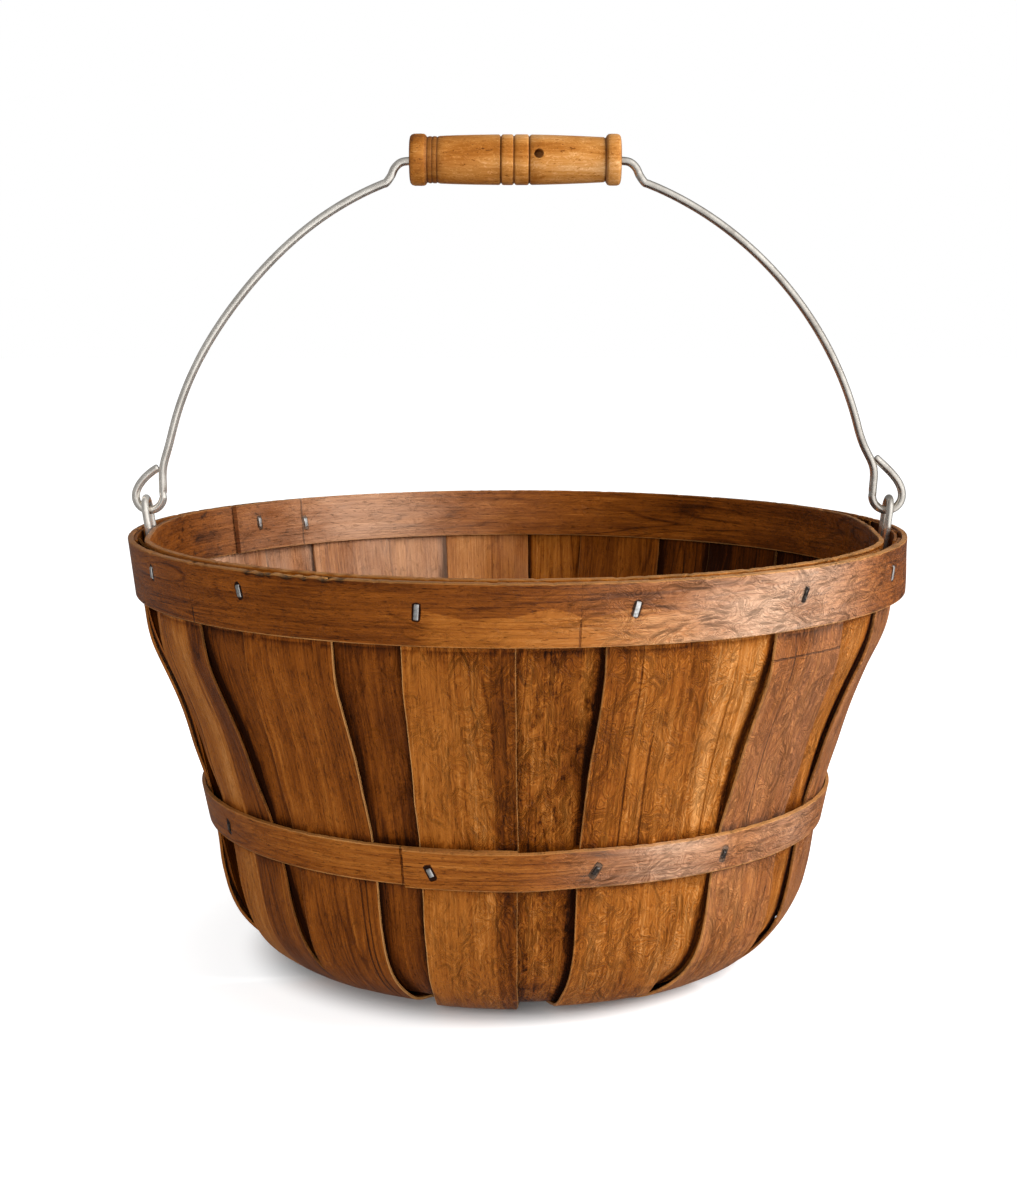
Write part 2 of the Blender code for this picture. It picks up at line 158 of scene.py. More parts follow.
# %% Sizes of the basket
FLOOR_RADIUS, CORNER_RADIUS, CORNER_LEAN = 0.093, 0.056, math.radians(13.0)
CORNER_TURN = math.pi / 2.0 - CORNER_LEAN
WAIST_HEIGHT, WAIST_RADIUS, WAIST_LEAN = 0.084, 0.1556, math.radians(10.5)
RIM_HEIGHT, RIM_RADIUS, RIM_LEAN = 0.2169, 0.1898, math.radians(6.65)
SEAT_BELOW_RIM, SHOULDER_BELOW_SEAT, SHOULDER_INSIDE_SEAT = 0.0309, 0.036, 0.0102
SEAT_HEIGHT = RIM_HEIGHT - SEAT_BELOW_RIM
SEAT_RADIUS = RIM_RADIUS - SEAT_BELOW_RIM * math.tan(RIM_LEAN)
SHOULDER_HEIGHT, SHOULDER_LEAN = SEAT_HEIGHT - SHOULDER_BELOW_SEAT, math.radians(20.0)
SHOULDER_RADIUS = SEAT_RADIUS - SHOULDER_INSIDE_SEAT
VENEER, VENEER_GAP, HOOP_GAP = 0.0014, 0.00035, 0.00035
PITCH = VENEER + VENEER_GAP
WALL_DEPTH = PITCH + VENEER
SPLINT_SETBACK = 0.0008
MIDDLE_HOOP_WIDTH, TOP_HOOP_WIDTH, INNER_HOOP_WIDTH = 0.0182, 0.0278, 0.0262
MIDDLE_HOOP_THICKNESS, TOP_HOOP_THICKNESS, INNER_HOOP_THICKNESS = 0.0020, 0.0028, 0.0026
print(f"rim {RIM_RADIUS * 1000:.1f} mm from the axis, {RIM_HEIGHT * 1000:.1f} mm above the floor")


# %% The outline table
def corner_point(turn):
    """Radius and height on the round corner, after a turn from the floor."""
    return FLOOR_RADIUS + CORNER_RADIUS * math.sin(turn), CORNER_RADIUS * (1.0 - math.cos(turn))


def wall_radius(height):
    """Radius and slope of the wall above the corner."""
    corner_r, corner_height = corner_point(CORNER_TURN)
    knots = (
        (corner_height, corner_r, math.tan(CORNER_LEAN)),
        (WAIST_HEIGHT, WAIST_RADIUS, math.tan(WAIST_LEAN)),
        (SHOULDER_HEIGHT, SHOULDER_RADIUS, math.tan(SHOULDER_LEAN)),
        (SEAT_HEIGHT, SEAT_RADIUS, math.tan(RIM_LEAN)),
        (RIM_HEIGHT, RIM_RADIUS, math.tan(RIM_LEAN)),
    )
    index = 0
    while index < len(knots) - 2 and height > knots[index + 1][0]:
        index += 1
    (low, low_r, low_slope), (high, high_r, high_slope) = knots[index], knots[index + 1]
    rise = high - low
    share = (height - low) / rise
    chord = (high_r - low_r) / rise
    bend_low, bend_high = low_slope - chord, high_slope - chord
    bow = share * (1.0 - share)
    radius = low_r + rise * (chord * share + bow * (bend_low * (1.0 - share) - bend_high * share))
    slope = chord + bend_low * (1.0 - share) * (1.0 - 3.0 * share) + bend_high * share * (3.0 * share - 2.0)
    return radius, slope


def outline_table():
    """Rows of length along the outline, radius, height and inward normal."""
    rows = [(radius, 0.0, 0.0, 1.0) for radius in np.linspace(0.0, FLOOR_RADIUS, 60)]
    for turn in np.linspace(0.0, CORNER_TURN, 60)[1:]:
        rows.append((*corner_point(turn), -math.sin(turn), math.cos(turn)))
    for height in np.linspace(rows[-1][1], RIM_HEIGHT, 240)[1:]:
        radius, slope = wall_radius(height)
        size = math.hypot(1.0, slope)
        rows.append((radius, height, -1.0 / size, slope / size))
    rows = np.array(rows)
    steps = np.hypot(np.diff(rows[:, 0]), np.diff(rows[:, 1]))
    return np.column_stack([np.concatenate([[0.0], np.cumsum(steps)]), rows])


OUTLINE = outline_table()
OUTLINE_LENGTH = OUTLINE[-1, 0]


def outline_at(length):
    """Radius, height and inward normal at lengths along the outline."""
    return [np.interp(length, OUTLINE[:, 0], OUTLINE[:, column]) for column in (1, 2, 3, 4)]


print(f"outline: {OUTLINE_LENGTH * 1000:.0f} mm from the floor's centre to the rim")


# %% [markdown]
# ## The veneer splints
# A splint is one long strip of sliced veneer. It runs up one wall, across the floor and up the other wall,
# and the fourteen of them cross in a star. A plain strip would look too perfect: real ones are cut with
# slightly wandering edges, get nicked, cup a little between the hoops, and each leans its own way. So the
# section of the strip, a thin rectangle with eased corners, is lofted along the outline in code, where every
# one of those faults can be a small number. Each half of a splint has its own entry below.

# %% Order of the crossing splints
NEIGHBOUR_LEVELS = (0, 1, 0, 1, 0, 1, 2)
OUTER_STACK = (0, 3, 1, 4, 2, 5, 6)
INNER_STACK = (9, 10, 7, 11, 8, 12, 13)
OUTER_TURNS = (0.0, 0.8, 1.6, 1.2, 0.0, 1.2, 0.6)
INNER_TURNS = (0.0, 0.6, 1.0, 0.6, 0.4, 1.0, 0.6)
FIRST_ANGLE, SPACING = -7.5, 360.0 / 14.0
CLIMB_END, CLIMB_START = 0.053, 0.105
STEP_FADE, PARTED_FADE = (0.108, 0.126), (0.128, 0.145)


def splint_angle(outer, index):
    """Angle of a splint's first half, in degrees."""
    turns = OUTER_TURNS if outer else INNER_TURNS
    return FIRST_ANGLE + SPACING * (index + (0.0 if outer else 0.5)) + turns[index]


def splint_level(outer, index, radius):
    """How many veneers the splint lies above the outline at plan radii."""
    near = NEIGHBOUR_LEVELS[index]
    stepped = near * (1.0 - smooth_step(radius, *STEP_FADE))
    climb = 1.0 - smooth_step(radius, CLIMB_END, CLIMB_START)
    if outer:
        return stepped + (OUTER_STACK[index] - near) * climb
    parted = 1.0 - smooth_step(radius, *PARTED_FADE)
    return 1.0 + parted + stepped + (INNER_STACK[index] - 2 - near) * climb


print("outer splints at", [round(splint_angle(True, index), 1) for index in range(7)], "degrees")


# %% [markdown]
# ## Faults and marks of each half splint
# A half is named by three values: whether its splint is an outer one, the splint's number, and 1 for the
# half at the splint's own angle or -1 for the half across from it. Lengths are in millimetres and tones go
# from 0 dark to 1 light. Sideways is positive to the right for someone who looks at that half from outside.
# Only what differs from the plain entry is written down. Halves out of view get a quiet entry by chance.

# %% The halves in view
# shift, narrow: sideways shift and narrowing at the floor. toe: a further shift where it turns under.
# drift: shift at the rim. cup: how far the edges stand off between the hoops.
# tone, tone_inside: the two faces. low, top: how much lighter it is below the waist and below the rim hoop.
# bands: places across and tone steps. cracks: places across, low and high ends. crease: height of a cross
# crease. stain: stains. The two sheen values, outside and inside: painted sheen where the key light falls.
# raw_left, raw_right: how bare the cut edges are.
PLAIN = {"shift": 0.0, "narrow": 0.0, "toe": 0.0, "drift": 0.0, "cup": 1.5, "tone": 0.50, "tone_inside": 0.46,
         "low": 0.0, "top": 0.0, "bands": (), "cracks": (), "crease": None, "stain": 0.25, "painted_sheen": 0.0,
         "painted_sheen_inside": 0.0, "raw_left": 0.15, "raw_right": 0.15}
HALVES = {
    (True, 1, 1): {"tone": 0.64, "top": -0.03, "bands": ((13.5, -0.21),), "stain": 0.12, "narrow": 7.0,
                   "shift": -0.8, "toe": -4.0, "raw_left": 0.9, "raw_right": 0.5},
    (True, 2, 1): {"tone": 0.57, "low": 0.06, "top": -0.04, "toe": 4.0, "drift": 1.5, "raw_left": 0.4,
                   "bands": ((-9.0, 0.05),), "cracks": ((-6.5, 95, 178), (3.0, 96, 140))},
    # Outer 3 and 4 get a painted sheen on the right, where the key light gleams
    (True, 3, 1): {"tone": 0.54, "low": 0.11, "bands": ((6.0, -0.05),), "cracks": ((-10.0, 100, 176),),
                   "crease": 175.5, "painted_sheen": 0.14, "raw_left": 0.6, "shift": -4.5},
    (True, 4, 1): {"tone": 0.58, "painted_sheen": 0.12, "raw_left": 0.3, "drift": 6.0, "cup": 0.8},
    (True, 5, -1): {"tone": 0.40},
    (True, 6, -1): {"tone": 0.62, "bands": ((-7.0, 0.08), (12.5, -0.28)), "cracks": ((-14.0, 95, 180),),
                    "shift": 20.0},
    (True, 7, -1): {"tone": 0.49, "cracks": ((17.5, 10, 74), (14.5, 14, 70)), "raw_right": 0.9, "narrow": 5.0,
                    "shift": 2.5},
    (False, 1, 1): {"tone": 0.65, "low": -0.06, "top": -0.09, "stain": 1.1},
    (False, 2, 1): {"tone": 0.79, "cracks": ((1.0, 95, 150),)},
    (False, 3, 1): {"tone": 0.66},
    # Inner 5's left half is painted nearly black, as painted shade in the deep gap at the left side
    (False, 5, -1): {"tone": 0.10},
    (False, 6, -1): {"tone": 0.38},
    (False, 7, -1): {"tone": 0.38},
}
# Inside faces, tone and sheen: on the back and the inside left they are lighter, most with a painted sheen,
# where the key light falls; on the inside right they are very dark, as painted shade where it doesn't reach.
INSIDE_LIGHT_AND_SHADE = {
    (True, 1, -1): (0.60, 0.0), (True, 2, -1): (0.56, 0.50), (True, 3, -1): (0.58, 0.60),
    (False, 1, -1): (0.62, 0.15), (False, 2, -1): (0.56, 0.55), (False, 3, -1): (0.58, 0.60),
    (True, 5, 1): (0.12, 0.0), (True, 6, 1): (0.14, 0.0), (True, 7, 1): (0.26, 0.0),
    (False, 5, 1): (0.10, 0.0), (False, 6, 1): (0.12, 0.0), (False, 7, 1): (0.42, 0.0),
}
for half, (inside_tone, inside_sheen) in INSIDE_LIGHT_AND_SHADE.items():
    HALVES[half] = {"tone_inside": inside_tone, "painted_sheen_inside": inside_sheen}

# How dark the painted shadow in the gap is beside the left and right edge: of some outer halves, the other
# outer and all inner ones
GAPS = {(1, 1): (0.35, 0.12), (2, 1): (1.0, 0.15), (3, 1): (1.0, 0.20), (4, 1): (1.0, 0.5),
        (6, -1): (1.0, 1.0), (7, -1): (0.35, 0.40)}
OUTER_GAP, INNER_GAP = (0.5, 0.5), (0.55, 0.55)


def half_looks(outer, number, side, chance):
    """The entry of one half, or a quiet one drawn by chance."""
    entry = dict(PLAIN)
    entry["tone"] = 0.50 + 0.08 * (chance.random() - 0.5)
    entry["bands"] = ((float(chance.uniform(-18.0, 18.0)), float(chance.uniform(-0.12, 0.10))),)
    entry.update(HALVES.get((outer, number, side), {}))
    return entry


print("halves with their own entry:", len(HALVES), "of 28")


# %% [markdown]
# ## Out of round
# The basket in the photo isn't quite round: the wall is a little hollow above the waist, most on the left,
# and the rim stands out on the right, where its outer hoop is loose at the low edge and its inner hoop bows
# in. Each of those is a smooth push away from the axis, so it is written as a function of angle and height,
# and every piece that the fault carries along is moved by the same function.

# %% Pushes away from the axis
HOLLOW, HOLLOW_LEFT = 0.0012, 0.0010
HOLLOW_START, HOLLOW_END = (0.095, 0.135), (0.135, 0.176)
RIM_PUSH, LOOSE_EDGE, INNER_BOW = 0.0024, 0.0034, -0.0024
PUSH_START, LOOSE_END = (0.150, 0.178), (0.186, 0.220)
# Angle and spread in degrees of the places where the basket is out of round
LEFT_SIDE, RIGHT_SIDE, RIGHT_EAR = (-85.0, 35.0), (90.0, 26.0), (88.0, 16.0)


def wall_push(angle, height):
    """How far the splints and ears stand outward of the round wall."""
    hollow = smooth_step(height, *HOLLOW_START) * (1.0 - smooth_step(height, *HOLLOW_END))
    inward = hollow * (HOLLOW + HOLLOW_LEFT * hill(angle, *LEFT_SIDE))
    return RIM_PUSH * hill(angle, *RIGHT_SIDE) * smooth_step(height, *PUSH_START) - inward


def rim_push(angle, height):
    """How far the outer rim hoop stands outward: more at its low edge."""
    return hill(angle, *RIGHT_SIDE) * (RIM_PUSH + LOOSE_EDGE * (1.0 - smooth_step(height, *LOOSE_END)))


def inner_push(angle, height):
    """How far the inner rim hoop stands outward, at any height: it bows inward beside the right ear."""
    return INNER_BOW * hill(angle, *RIGHT_EAR)


def push(places, amount):
    """Move places away from the basket's axis."""
    radius = np.maximum(np.hypot(places[:, 0], places[:, 1]), 1e-6)
    moved = amount(angles_of(places), places[:, 2])
    places[:, :2] *= (1.0 + moved / radius)[:, None]
    return places


def push_piece(piece, amount):
    """The same for a finished piece."""
    move_to(piece.data, push(vectors_of(piece.data.vertices, "co"), amount))


print("rim stands", round(float(rim_push(90.0, RIM_HEIGHT)) * 1000, 1), "mm out on the right")


# %% [markdown]
# ## How a splint is lofted
# Lofting sets the same ring of points on every row along the outline and joins the rings with faces. The
# section is written in shares of the width and the thickness, so one ring fits all rows. A wandering edge or
# a cup is then only a small number added to a row, which a stock shape with modifiers couldn't follow.

# %% Section and edges of a strip
ROW_STEP, FLOOR_STEP, COLUMNS, EASE = 0.0026, 0.007, 22, 0.00022
FLOOR_WIDTH, WIDENING = 0.045, 0.005
# Length and size of the two waves of a cut edge
LONG_WAVE, SHORT_WAVE = (0.045, 0.00035), (0.007, 0.00010)
# Radii and heights between which a shift, a toe or a drift fades in or out
TAPER_FADE, TOE_START, TOE_END, DRIFT_FADE = (0.045, 0.095), (0.045, 0.090), (0.100, 0.136), (0.10, 0.19)


def section():
    """Points round a section: share of the half width, inset from it, and share of the thickness."""
    shares = np.linspace(-1.0, 1.0, COLUMNS + 1)
    ease = EASE / VENEER
    right = [(1.0, 0.0, ease), (1.0, 0.0, 1.0 - ease)]
    left = [(-1.0, 0.0, 1.0 - ease), (-1.0, 0.0, ease)]
    outer_face = [(share, EASE, 0.0) for share in shares]
    inner_face = [(share, EASE, 1.0) for share in reversed(shares)]
    return np.array(outer_face + right + inner_face + left)


def wander(place, seed, length):
    """Smooth noise along a line, about -1 to 1."""
    values = [noise.noise(Vector((value / length, seed, 0.37 * seed))) for value in np.ravel(place)]
    return np.array(values) * 1.8


def cut_fault(run, long_seed, short_seed):
    """How far a cut edge wanders: a long wave and a short one."""
    long_wave = wander(run, long_seed, LONG_WAVE[0]) * LONG_WAVE[1]
    return long_wave + wander(run, short_seed, SHORT_WAVE[0]) * SHORT_WAVE[1]


def taper(radius, height):
    """How much of a half's shift and narrowing is reached: all of it at the floor, none at the rim."""
    return (1.0 - height / RIM_HEIGHT) ** 1.5 * smooth_step(radius, *TAPER_FADE)


def toe_share(radius):
    """1 where the splint turns under the floor, 0 on the wall and under the middle."""
    return smooth_step(radius, *TOE_START) * (1.0 - smooth_step(radius, *TOE_END))


def drift_share(height):
    """How much of a drift is reached: none low on the wall, all of it at the rim."""
    return smooth_step(height, *DRIFT_FADE)


print("points round a splint's section:", len(section()))


# %% Rows, faces and normals
def splint_rows():
    """Length along the outline and side of each row, from one rim over the floor to the other."""
    end = OUTLINE_LENGTH - SPLINT_SETBACK
    floor_rows = np.linspace(0.0, FLOOR_RADIUS, int(FLOOR_RADIUS / FLOOR_STEP) + 1)
    half = np.concatenate([floor_rows, np.arange(FLOOR_RADIUS + ROW_STEP, end, ROW_STEP), [end]])
    side = np.concatenate([-np.ones(len(half) - 1), np.ones(len(half))])
    return np.concatenate([half[:0:-1], half]), side


def strip_faces(rows, count):
    """Faces between the rings of a strip, and its two ends."""
    faces = []
    for base in range(0, (rows - 1) * count, count):
        for column in range(count):
            after = (column + 1) % count
            faces.append((base + column, base + after, base + count + after, base + count + column))
    return faces + [tuple(reversed(range(count))), tuple(range((rows - 1) * count, rows * count))]


def tidy_normals(mesh, sharp=35.0):
    """Turn the faces outward, and shade smooth except over sharp corners."""
    shell = bmesh.new()
    shell.from_mesh(mesh)
    bmesh.ops.recalc_face_normals(shell, faces=shell.faces)
    shell.to_mesh(mesh)
    shell.free()
    mesh.shade_smooth()
    mesh.set_sharp_from_angle(angle=math.radians(sharp))


print("rows along a splint:", len(splint_rows()[0]))


# %% [markdown]
# ## What a splint remembers
# A splint gets painted shadow beside the gaps and under the hoops' edges, where pieces over it shade it,
# a painted sheen where the key light gleams, and bands and cracks of its own. Painting an image would tie
# those to one size. Here each vertex stores a few numbers instead, such as the way to the nearest gap or
# crack, and the finish turns them into colour and relief.

# %% Helpers that store marks on the vertices
GAP_TOP, GAP_BEHIND_RIM, WAIST_HALF = 0.1885, 0.1875, 0.0090
# Painted shade on the splints just under the rim hoop and beside the waist hoop
HOOP_GAP_SHADE, HOOP_GAP_SPREAD, HOOP_GAP_START = 0.42, 0.7, 0.0006
# A band's place is written in millimetres for a splint whose half width is this many
BAND_REACH = 25.0


def set_vector(mesh, name, *columns):
    """Store up to three numbers for each vertex."""
    layer = mesh.attributes.new(name, "FLOAT_VECTOR", "POINT")
    columns = [np.broadcast_to(np.asarray(column, float), (len(mesh.vertices),)) for column in columns]
    while len(columns) < 3:
        columns.append(np.zeros(len(mesh.vertices)))
    layer.data.foreach_set("vector", np.column_stack(columns).astype(np.float32).ravel())


def crack_distance(across, up, line):
    """Signed distance to a crack that runs up the splint, longer past the crack's ends."""
    place, low, high = (value / 1000.0 for value in line)
    away = across - place
    past = np.maximum(np.maximum(low - up, up - high), 0.0)
    return away + np.where(away < 0.0, -1.0, 1.0) * past * 0.25


def gap_shade(verts, high, outer, within):
    """Per vertex: distance to the nearest edge over it or to a hoop, and how dark its painted shade is."""
    radius = np.hypot(verts[:, 0], verts[:, 1])
    angle = angles_of(verts)
    share = taper(radius, np.minimum(high, RIM_HEIGHT))
    nearest = np.ones(len(verts))
    strength = np.zeros(len(verts))
    over = not outer
    for index in range(7):
        for side in (1, -1):
            entry = {**PLAIN, **HALVES.get((over, index + 1, side), {})}
            centre = splint_angle(over, index) + (0.0 if side > 0 else 180.0)
            away = np.radians(turned_from(angle, centre))
            toe, drift = entry["toe"] * toe_share(radius), entry["drift"] * drift_share(high)
            shift = (entry["shift"] * share + toe + drift) / 1000.0
            across = np.where(np.abs(away) < 1.2, radius * np.sin(away) - shift, 1.0)
            width = FLOOR_WIDTH + WIDENING * high / RIM_HEIGHT - entry["narrow"] / 1000.0 * share
            distance = np.abs(np.abs(across) - width / 2.0)
            left, right = GAPS.get((index + 1, side), OUTER_GAP) if over else INNER_GAP
            strength = np.where(distance < nearest, np.where(across < 0.0, left, right), strength)
            nearest = np.minimum(nearest, distance)
    below_rim = np.maximum(GAP_BEHIND_RIM - high, 0.0)
    beside_waist = np.maximum(np.abs(high - WAIST_HEIGHT) - WAIST_HALF, 0.0)
    to_hoop = HOOP_GAP_SPREAD * np.minimum(below_rim, beside_waist) + HOOP_GAP_START
    under = (~within) & (high < GAP_TOP) & (to_hoop < nearest)
    strength = np.where(under, HOOP_GAP_SHADE, np.where(within == outer, strength, 0.0))
    return np.where(under, to_hoop, nearest), strength


def curl_strength(angle, start):
    """Curls with painted highlight and shade: strong on the lit right from an angle on, weak elsewhere."""
    return 0.25 + 0.75 * smooth_step(angle, start, start + 25.0) * (1.0 - smooth_step(angle, 95.0, 130.0))


def store_lines(mesh, looks, halves, right, high, half_width):
    """Store bands, tone steps and cracks, up to three of each for every vertex."""
    columns = {"bands": [], "steps": [], "cracks": []}
    for slot in range(3):
        band, step, crack = np.full(len(right), -1.0), np.zeros(len(right)), np.full(len(right), 1.0)
        for side in (1, -1):
            mine = halves == side
            entry = looks[side]
            if slot < len(entry["bands"]):
                place, tone_step = entry["bands"][slot]
                band[mine] = right[mine] - place / BAND_REACH * half_width[mine]
                step[mine] = tone_step
            if slot < len(entry["cracks"]):
                crack[mine] = crack_distance(right[mine], high[mine], entry["cracks"][slot])
            elif slot == 1 and entry["crease"]:
                crack[mine] = high[mine] - entry["crease"] / 1000.0
        for name, values in (("bands", band), ("steps", step), ("cracks", crack)):
            columns[name].append(values)
    for name, values in columns.items():
        set_vector(mesh, name, *values)


# %% [markdown]
# ## A splint in three moves
# First every point gets its place across the strip, then the strip is bent round the basket, and last the
# marks are stored. Keeping the moves apart makes it easy to change one fault and leave the others alone.

# %% Where the points of a splint lie across it
FAULT_FADE = (0.0, 0.006)


def start_strip(outer, number):
    """A splint's rows, its section, and the place across of every point."""
    seed = number + (0.0 if outer else 20.0)
    chance = np.random.default_rng(int(seed) + 40)
    looks = {side: half_looks(outer, number, side, chance) for side in (1, -1)}
    length, side = splint_rows()
    radius, height, out, up = outline_at(length)
    look = lambda key: np.where(side > 0.0, looks[1][key], looks[-1][key])
    low_share = taper(radius, height)
    half_width = (FLOOR_WIDTH + WIDENING * height / RIM_HEIGHT) / 2.0 - look("narrow") / 2000.0 * low_share
    moved = look("shift") * low_share + look("toe") * toe_share(radius) + look("drift") * drift_share(height)
    centre = side * moved / 1000.0
    run = side * length
    loose = smooth_step(height, *FAULT_FADE)
    left_edge = cut_fault(run, seed + 0.3, seed + 0.5) * loose
    right_edge = cut_fault(run, seed + 0.7, seed + 0.9) * loose
    share, inset, depth = section().T[:, None, :]
    edge_move = np.where(share > 0.0, right_edge[:, None], left_edge[:, None]) * np.abs(share)
    across = centre[:, None] + share * (half_width[:, None] - inset) + edge_move
    return SimpleNamespace(
        outer=outer, index=number - 1, seed=seed, looks=looks, look=look, length=length, side=side, run=run,
        radius=radius, height=height, out=out, up=up, half_width=half_width, share=share, inset=inset,
        depth=depth, across=across)


print("widest splint:", round(2000.0 * float(start_strip(True, 1).half_width.max()), 1), "mm")

# %% Bend a splint round the basket
RIPPLE, RIPPLE_ACROSS, RIPPLE_ALONG, CUP_POWER = 0.0003, 0.05, 0.09, 2.2
# Where a splint is free: away from the waist hoop, below the rim hoops, above the floor
FREE_OF_WAIST, HELD_BY_RIM, FREE_OF_FLOOR = (0.010, 0.034), (0.162, SEAT_HEIGHT), (0.006, 0.030)
TIP_LENGTH, TIP_WAVE, TIP_FAULT = 0.006, 0.012, 0.00035


def lift_of(strip):
    """How far each point lies off the outline: by the order of the stack, and cupped where it is free."""
    level = splint_level(strip.outer, strip.index, strip.radius)[:, None]
    beside_waist = smooth_step(np.abs(strip.height - WAIST_HEIGHT), *FREE_OF_WAIST)
    below_rim = 1.0 - smooth_step(strip.height, *HELD_BY_RIM)
    free = beside_waist * below_rim * smooth_step(strip.height, *FREE_OF_FLOOR)
    ripple = [[noise.noise(Vector((at / RIPPLE_ACROSS, run / RIPPLE_ALONG, strip.seed * 1.7))) for at in row]
              for row, run in zip(strip.across, strip.run)]
    cup = strip.look("cup")[:, None] / 1000.0 * np.abs(strip.share) ** CUP_POWER
    stand_off = free[:, None] * (cup + RIPPLE * (0.5 + np.array(ripple)))
    return level * PITCH + strip.depth * VENEER + (-stand_off if strip.outer else 0.5 * stand_off)


def bend_strip(strip):
    """Every point in its place, row by row, with unevenly trimmed tips."""
    lift, across, radius = lift_of(strip), strip.across, strip.radius[:, None]
    edge_row = np.sqrt(np.maximum(radius ** 2 - across ** 2, 0.0))
    roundness = smooth_step(radius, CLIMB_END / 2.0, CLIMB_END)
    plan_y = -strip.side[:, None] * (radius + (edge_row - radius) * roundness)
    scale = 1.0 + strip.out[:, None] * lift / np.maximum(np.hypot(across, plan_y), 1e-9)
    plan_x, plan_y = across * scale, plan_y * scale
    tip_fault = np.abs(wander(across[-1], strip.seed + 2.0, TIP_WAVE) * TIP_FAULT)
    tip = smooth_step(strip.height, RIM_HEIGHT - TIP_LENGTH, RIM_HEIGHT)[:, None]
    z = strip.height[:, None] + strip.up[:, None] * lift - tip * tip_fault[None, :]
    angle = math.radians(splint_angle(strip.outer, strip.index))
    x = plan_x * math.cos(angle) - plan_y * math.sin(angle)
    y = plan_x * math.sin(angle) + plan_y * math.cos(angle)
    return push(np.stack([x, y, z], axis=-1).reshape(-1, 3), wall_push)


print("a splint has", bend_strip(start_strip(True, 1)).shape[0], "points")

# %% Store what the finish reads
LOW_TONE_FADE, TOP_TONE_FADE, INSIDE_SHEEN_FADE = (0.060, 0.085), (0.148, 0.172), (0.05, 0.17)
# Each splint reads the grain at a place of its own, this far from the next one's
GRAIN_STEP_ACROSS, GRAIN_STEP_DEEP = 0.13, 0.61
SPLINT_CURLS_FROM = -22.0


def mark_strip(mesh, strip, verts):
    """Store grain, lines, tones, painted sheen, bare edges and painted gap shade on a splint's vertices."""
    look, height, seed = strip.look, strip.height, strip.seed
    flat = lambda values: np.broadcast_to(values, strip.across.shape).ravel()
    per_row = lambda values: flat(values[:, None])
    right, high, within = flat(strip.side[:, None] * strip.across), per_row(height), flat(strip.depth) > 0.5
    place = flat(strip.across) + GRAIN_STEP_ACROSS * seed
    set_vector(mesh, "at", place, per_row(strip.run), GRAIN_STEP_DEEP * seed)
    half_width = strip.half_width[:, None]
    store_lines(mesh, strip.looks, per_row(strip.side), right, high, flat(half_width))
    to_side = flat(half_width - np.abs(strip.share * (half_width - strip.inset)))
    to_end = per_row(OUTLINE_LENGTH - SPLINT_SETBACK - strip.length)
    low_tone = look("low") * (1.0 - smooth_step(height, *LOW_TONE_FADE))
    top_tone = look("top") * smooth_step(height, *TOP_TONE_FADE)
    tone = np.where(within, per_row(look("tone_inside")), per_row(look("tone") + (low_tone + top_tone)))
    set_vector(mesh, "marks", tone, per_row(look("stain")), np.minimum(to_side, to_end))
    # Painted sheen: as listed outside, and on the inner faces growing towards the rim
    painted_sheen_inside = per_row(look("painted_sheen_inside")) * smooth_step(high, *INSIDE_SHEEN_FADE)
    raw = np.where(right > 0.0, per_row(look("raw_right")), per_row(look("raw_left")))
    set_vector(mesh, "sheen_and_bare_edge", np.where(within, painted_sheen_inside, per_row(look("painted_sheen"))), raw)
    curls = curl_strength(angles_of(verts), SPLINT_CURLS_FROM)
    # Distance and strength of the painted shade beside edges over this splint and under the hoops
    set_vector(mesh, "gaps", *gap_shade(verts, high, strip.outer, within), curls)


# %% Loft a splint
def new_piece(name, mesh, finish):
    """An object at the origin with its finish."""
    piece = bpy.data.objects.new(name, mesh)
    bpy.context.scene.collection.objects.link(piece)
    mesh.materials.clear()
    mesh.materials.append(finish)
    return piece


def loft_splint(outer, number, finish):
    """One splint, as a closed strip with its marks stored on its vertices."""
    strip = start_strip(outer, number)
    verts = bend_strip(strip)
    mesh = bpy.data.meshes.new("splint")
    mesh.from_pydata(verts.tolist(), [], strip_faces(*strip.across.shape))
    tidy_normals(mesh)
    mark_strip(mesh, strip, verts)
    name = f"{'outer' if outer else 'inner'}_splint_{number}"
    piece = new_piece(f"{name}_veneer", mesh, finish)
    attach(piece, "basket")
    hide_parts(name)
    return piece


# %% [markdown]
# ## Wood finishes
# Sliced veneer shows long fibres, slow figure lines, dark pores and patches of stain, and its cut edges stay
# paler. All of that runs along the strip, so the finish doesn't read world space: each vertex carries its
# place across and along its own strip, and noises stretched along that place make the grain. Bands and
# cracks are stored as distances to a line, which stay sharp however coarse the mesh is.

# %% Helpers for finishes
DEEP, BROWN, WARM = (0.016, 0.0033, 0.0002), (0.095, 0.0210, 0.0008), (0.228, 0.060, 0.0045)
TAN, PALE = (0.395, 0.128, 0.0165), (0.66, 0.30, 0.090)
# Colours of the painted sheen and of the bare cut edges
PAINTED_SHEEN_COLOUR, BARE = (0.72, 0.46, 0.31), (0.56, 0.27, 0.085)


def grain_noise(tree, vector, detail=3.0, roughness=0.55, distortion=0.0):
    """Noise read at a place that is already scaled."""
    settings = {"Vector": vector, "Scale": 1.0, "Detail": detail, "Roughness": roughness,
                "Distortion": distortion}
    return first(tree, "ShaderNodeTexNoise", settings, noise_dimensions="3D")


def stored(tree, name):
    """A stored vector and its three numbers."""
    source = add(tree, "ShaderNodeAttribute", attribute_name=name, attribute_type="GEOMETRY")
    vector = source.outputs["Vector"]
    return vector, add(tree, "ShaderNodeSeparateXYZ", {0: vector}).outputs


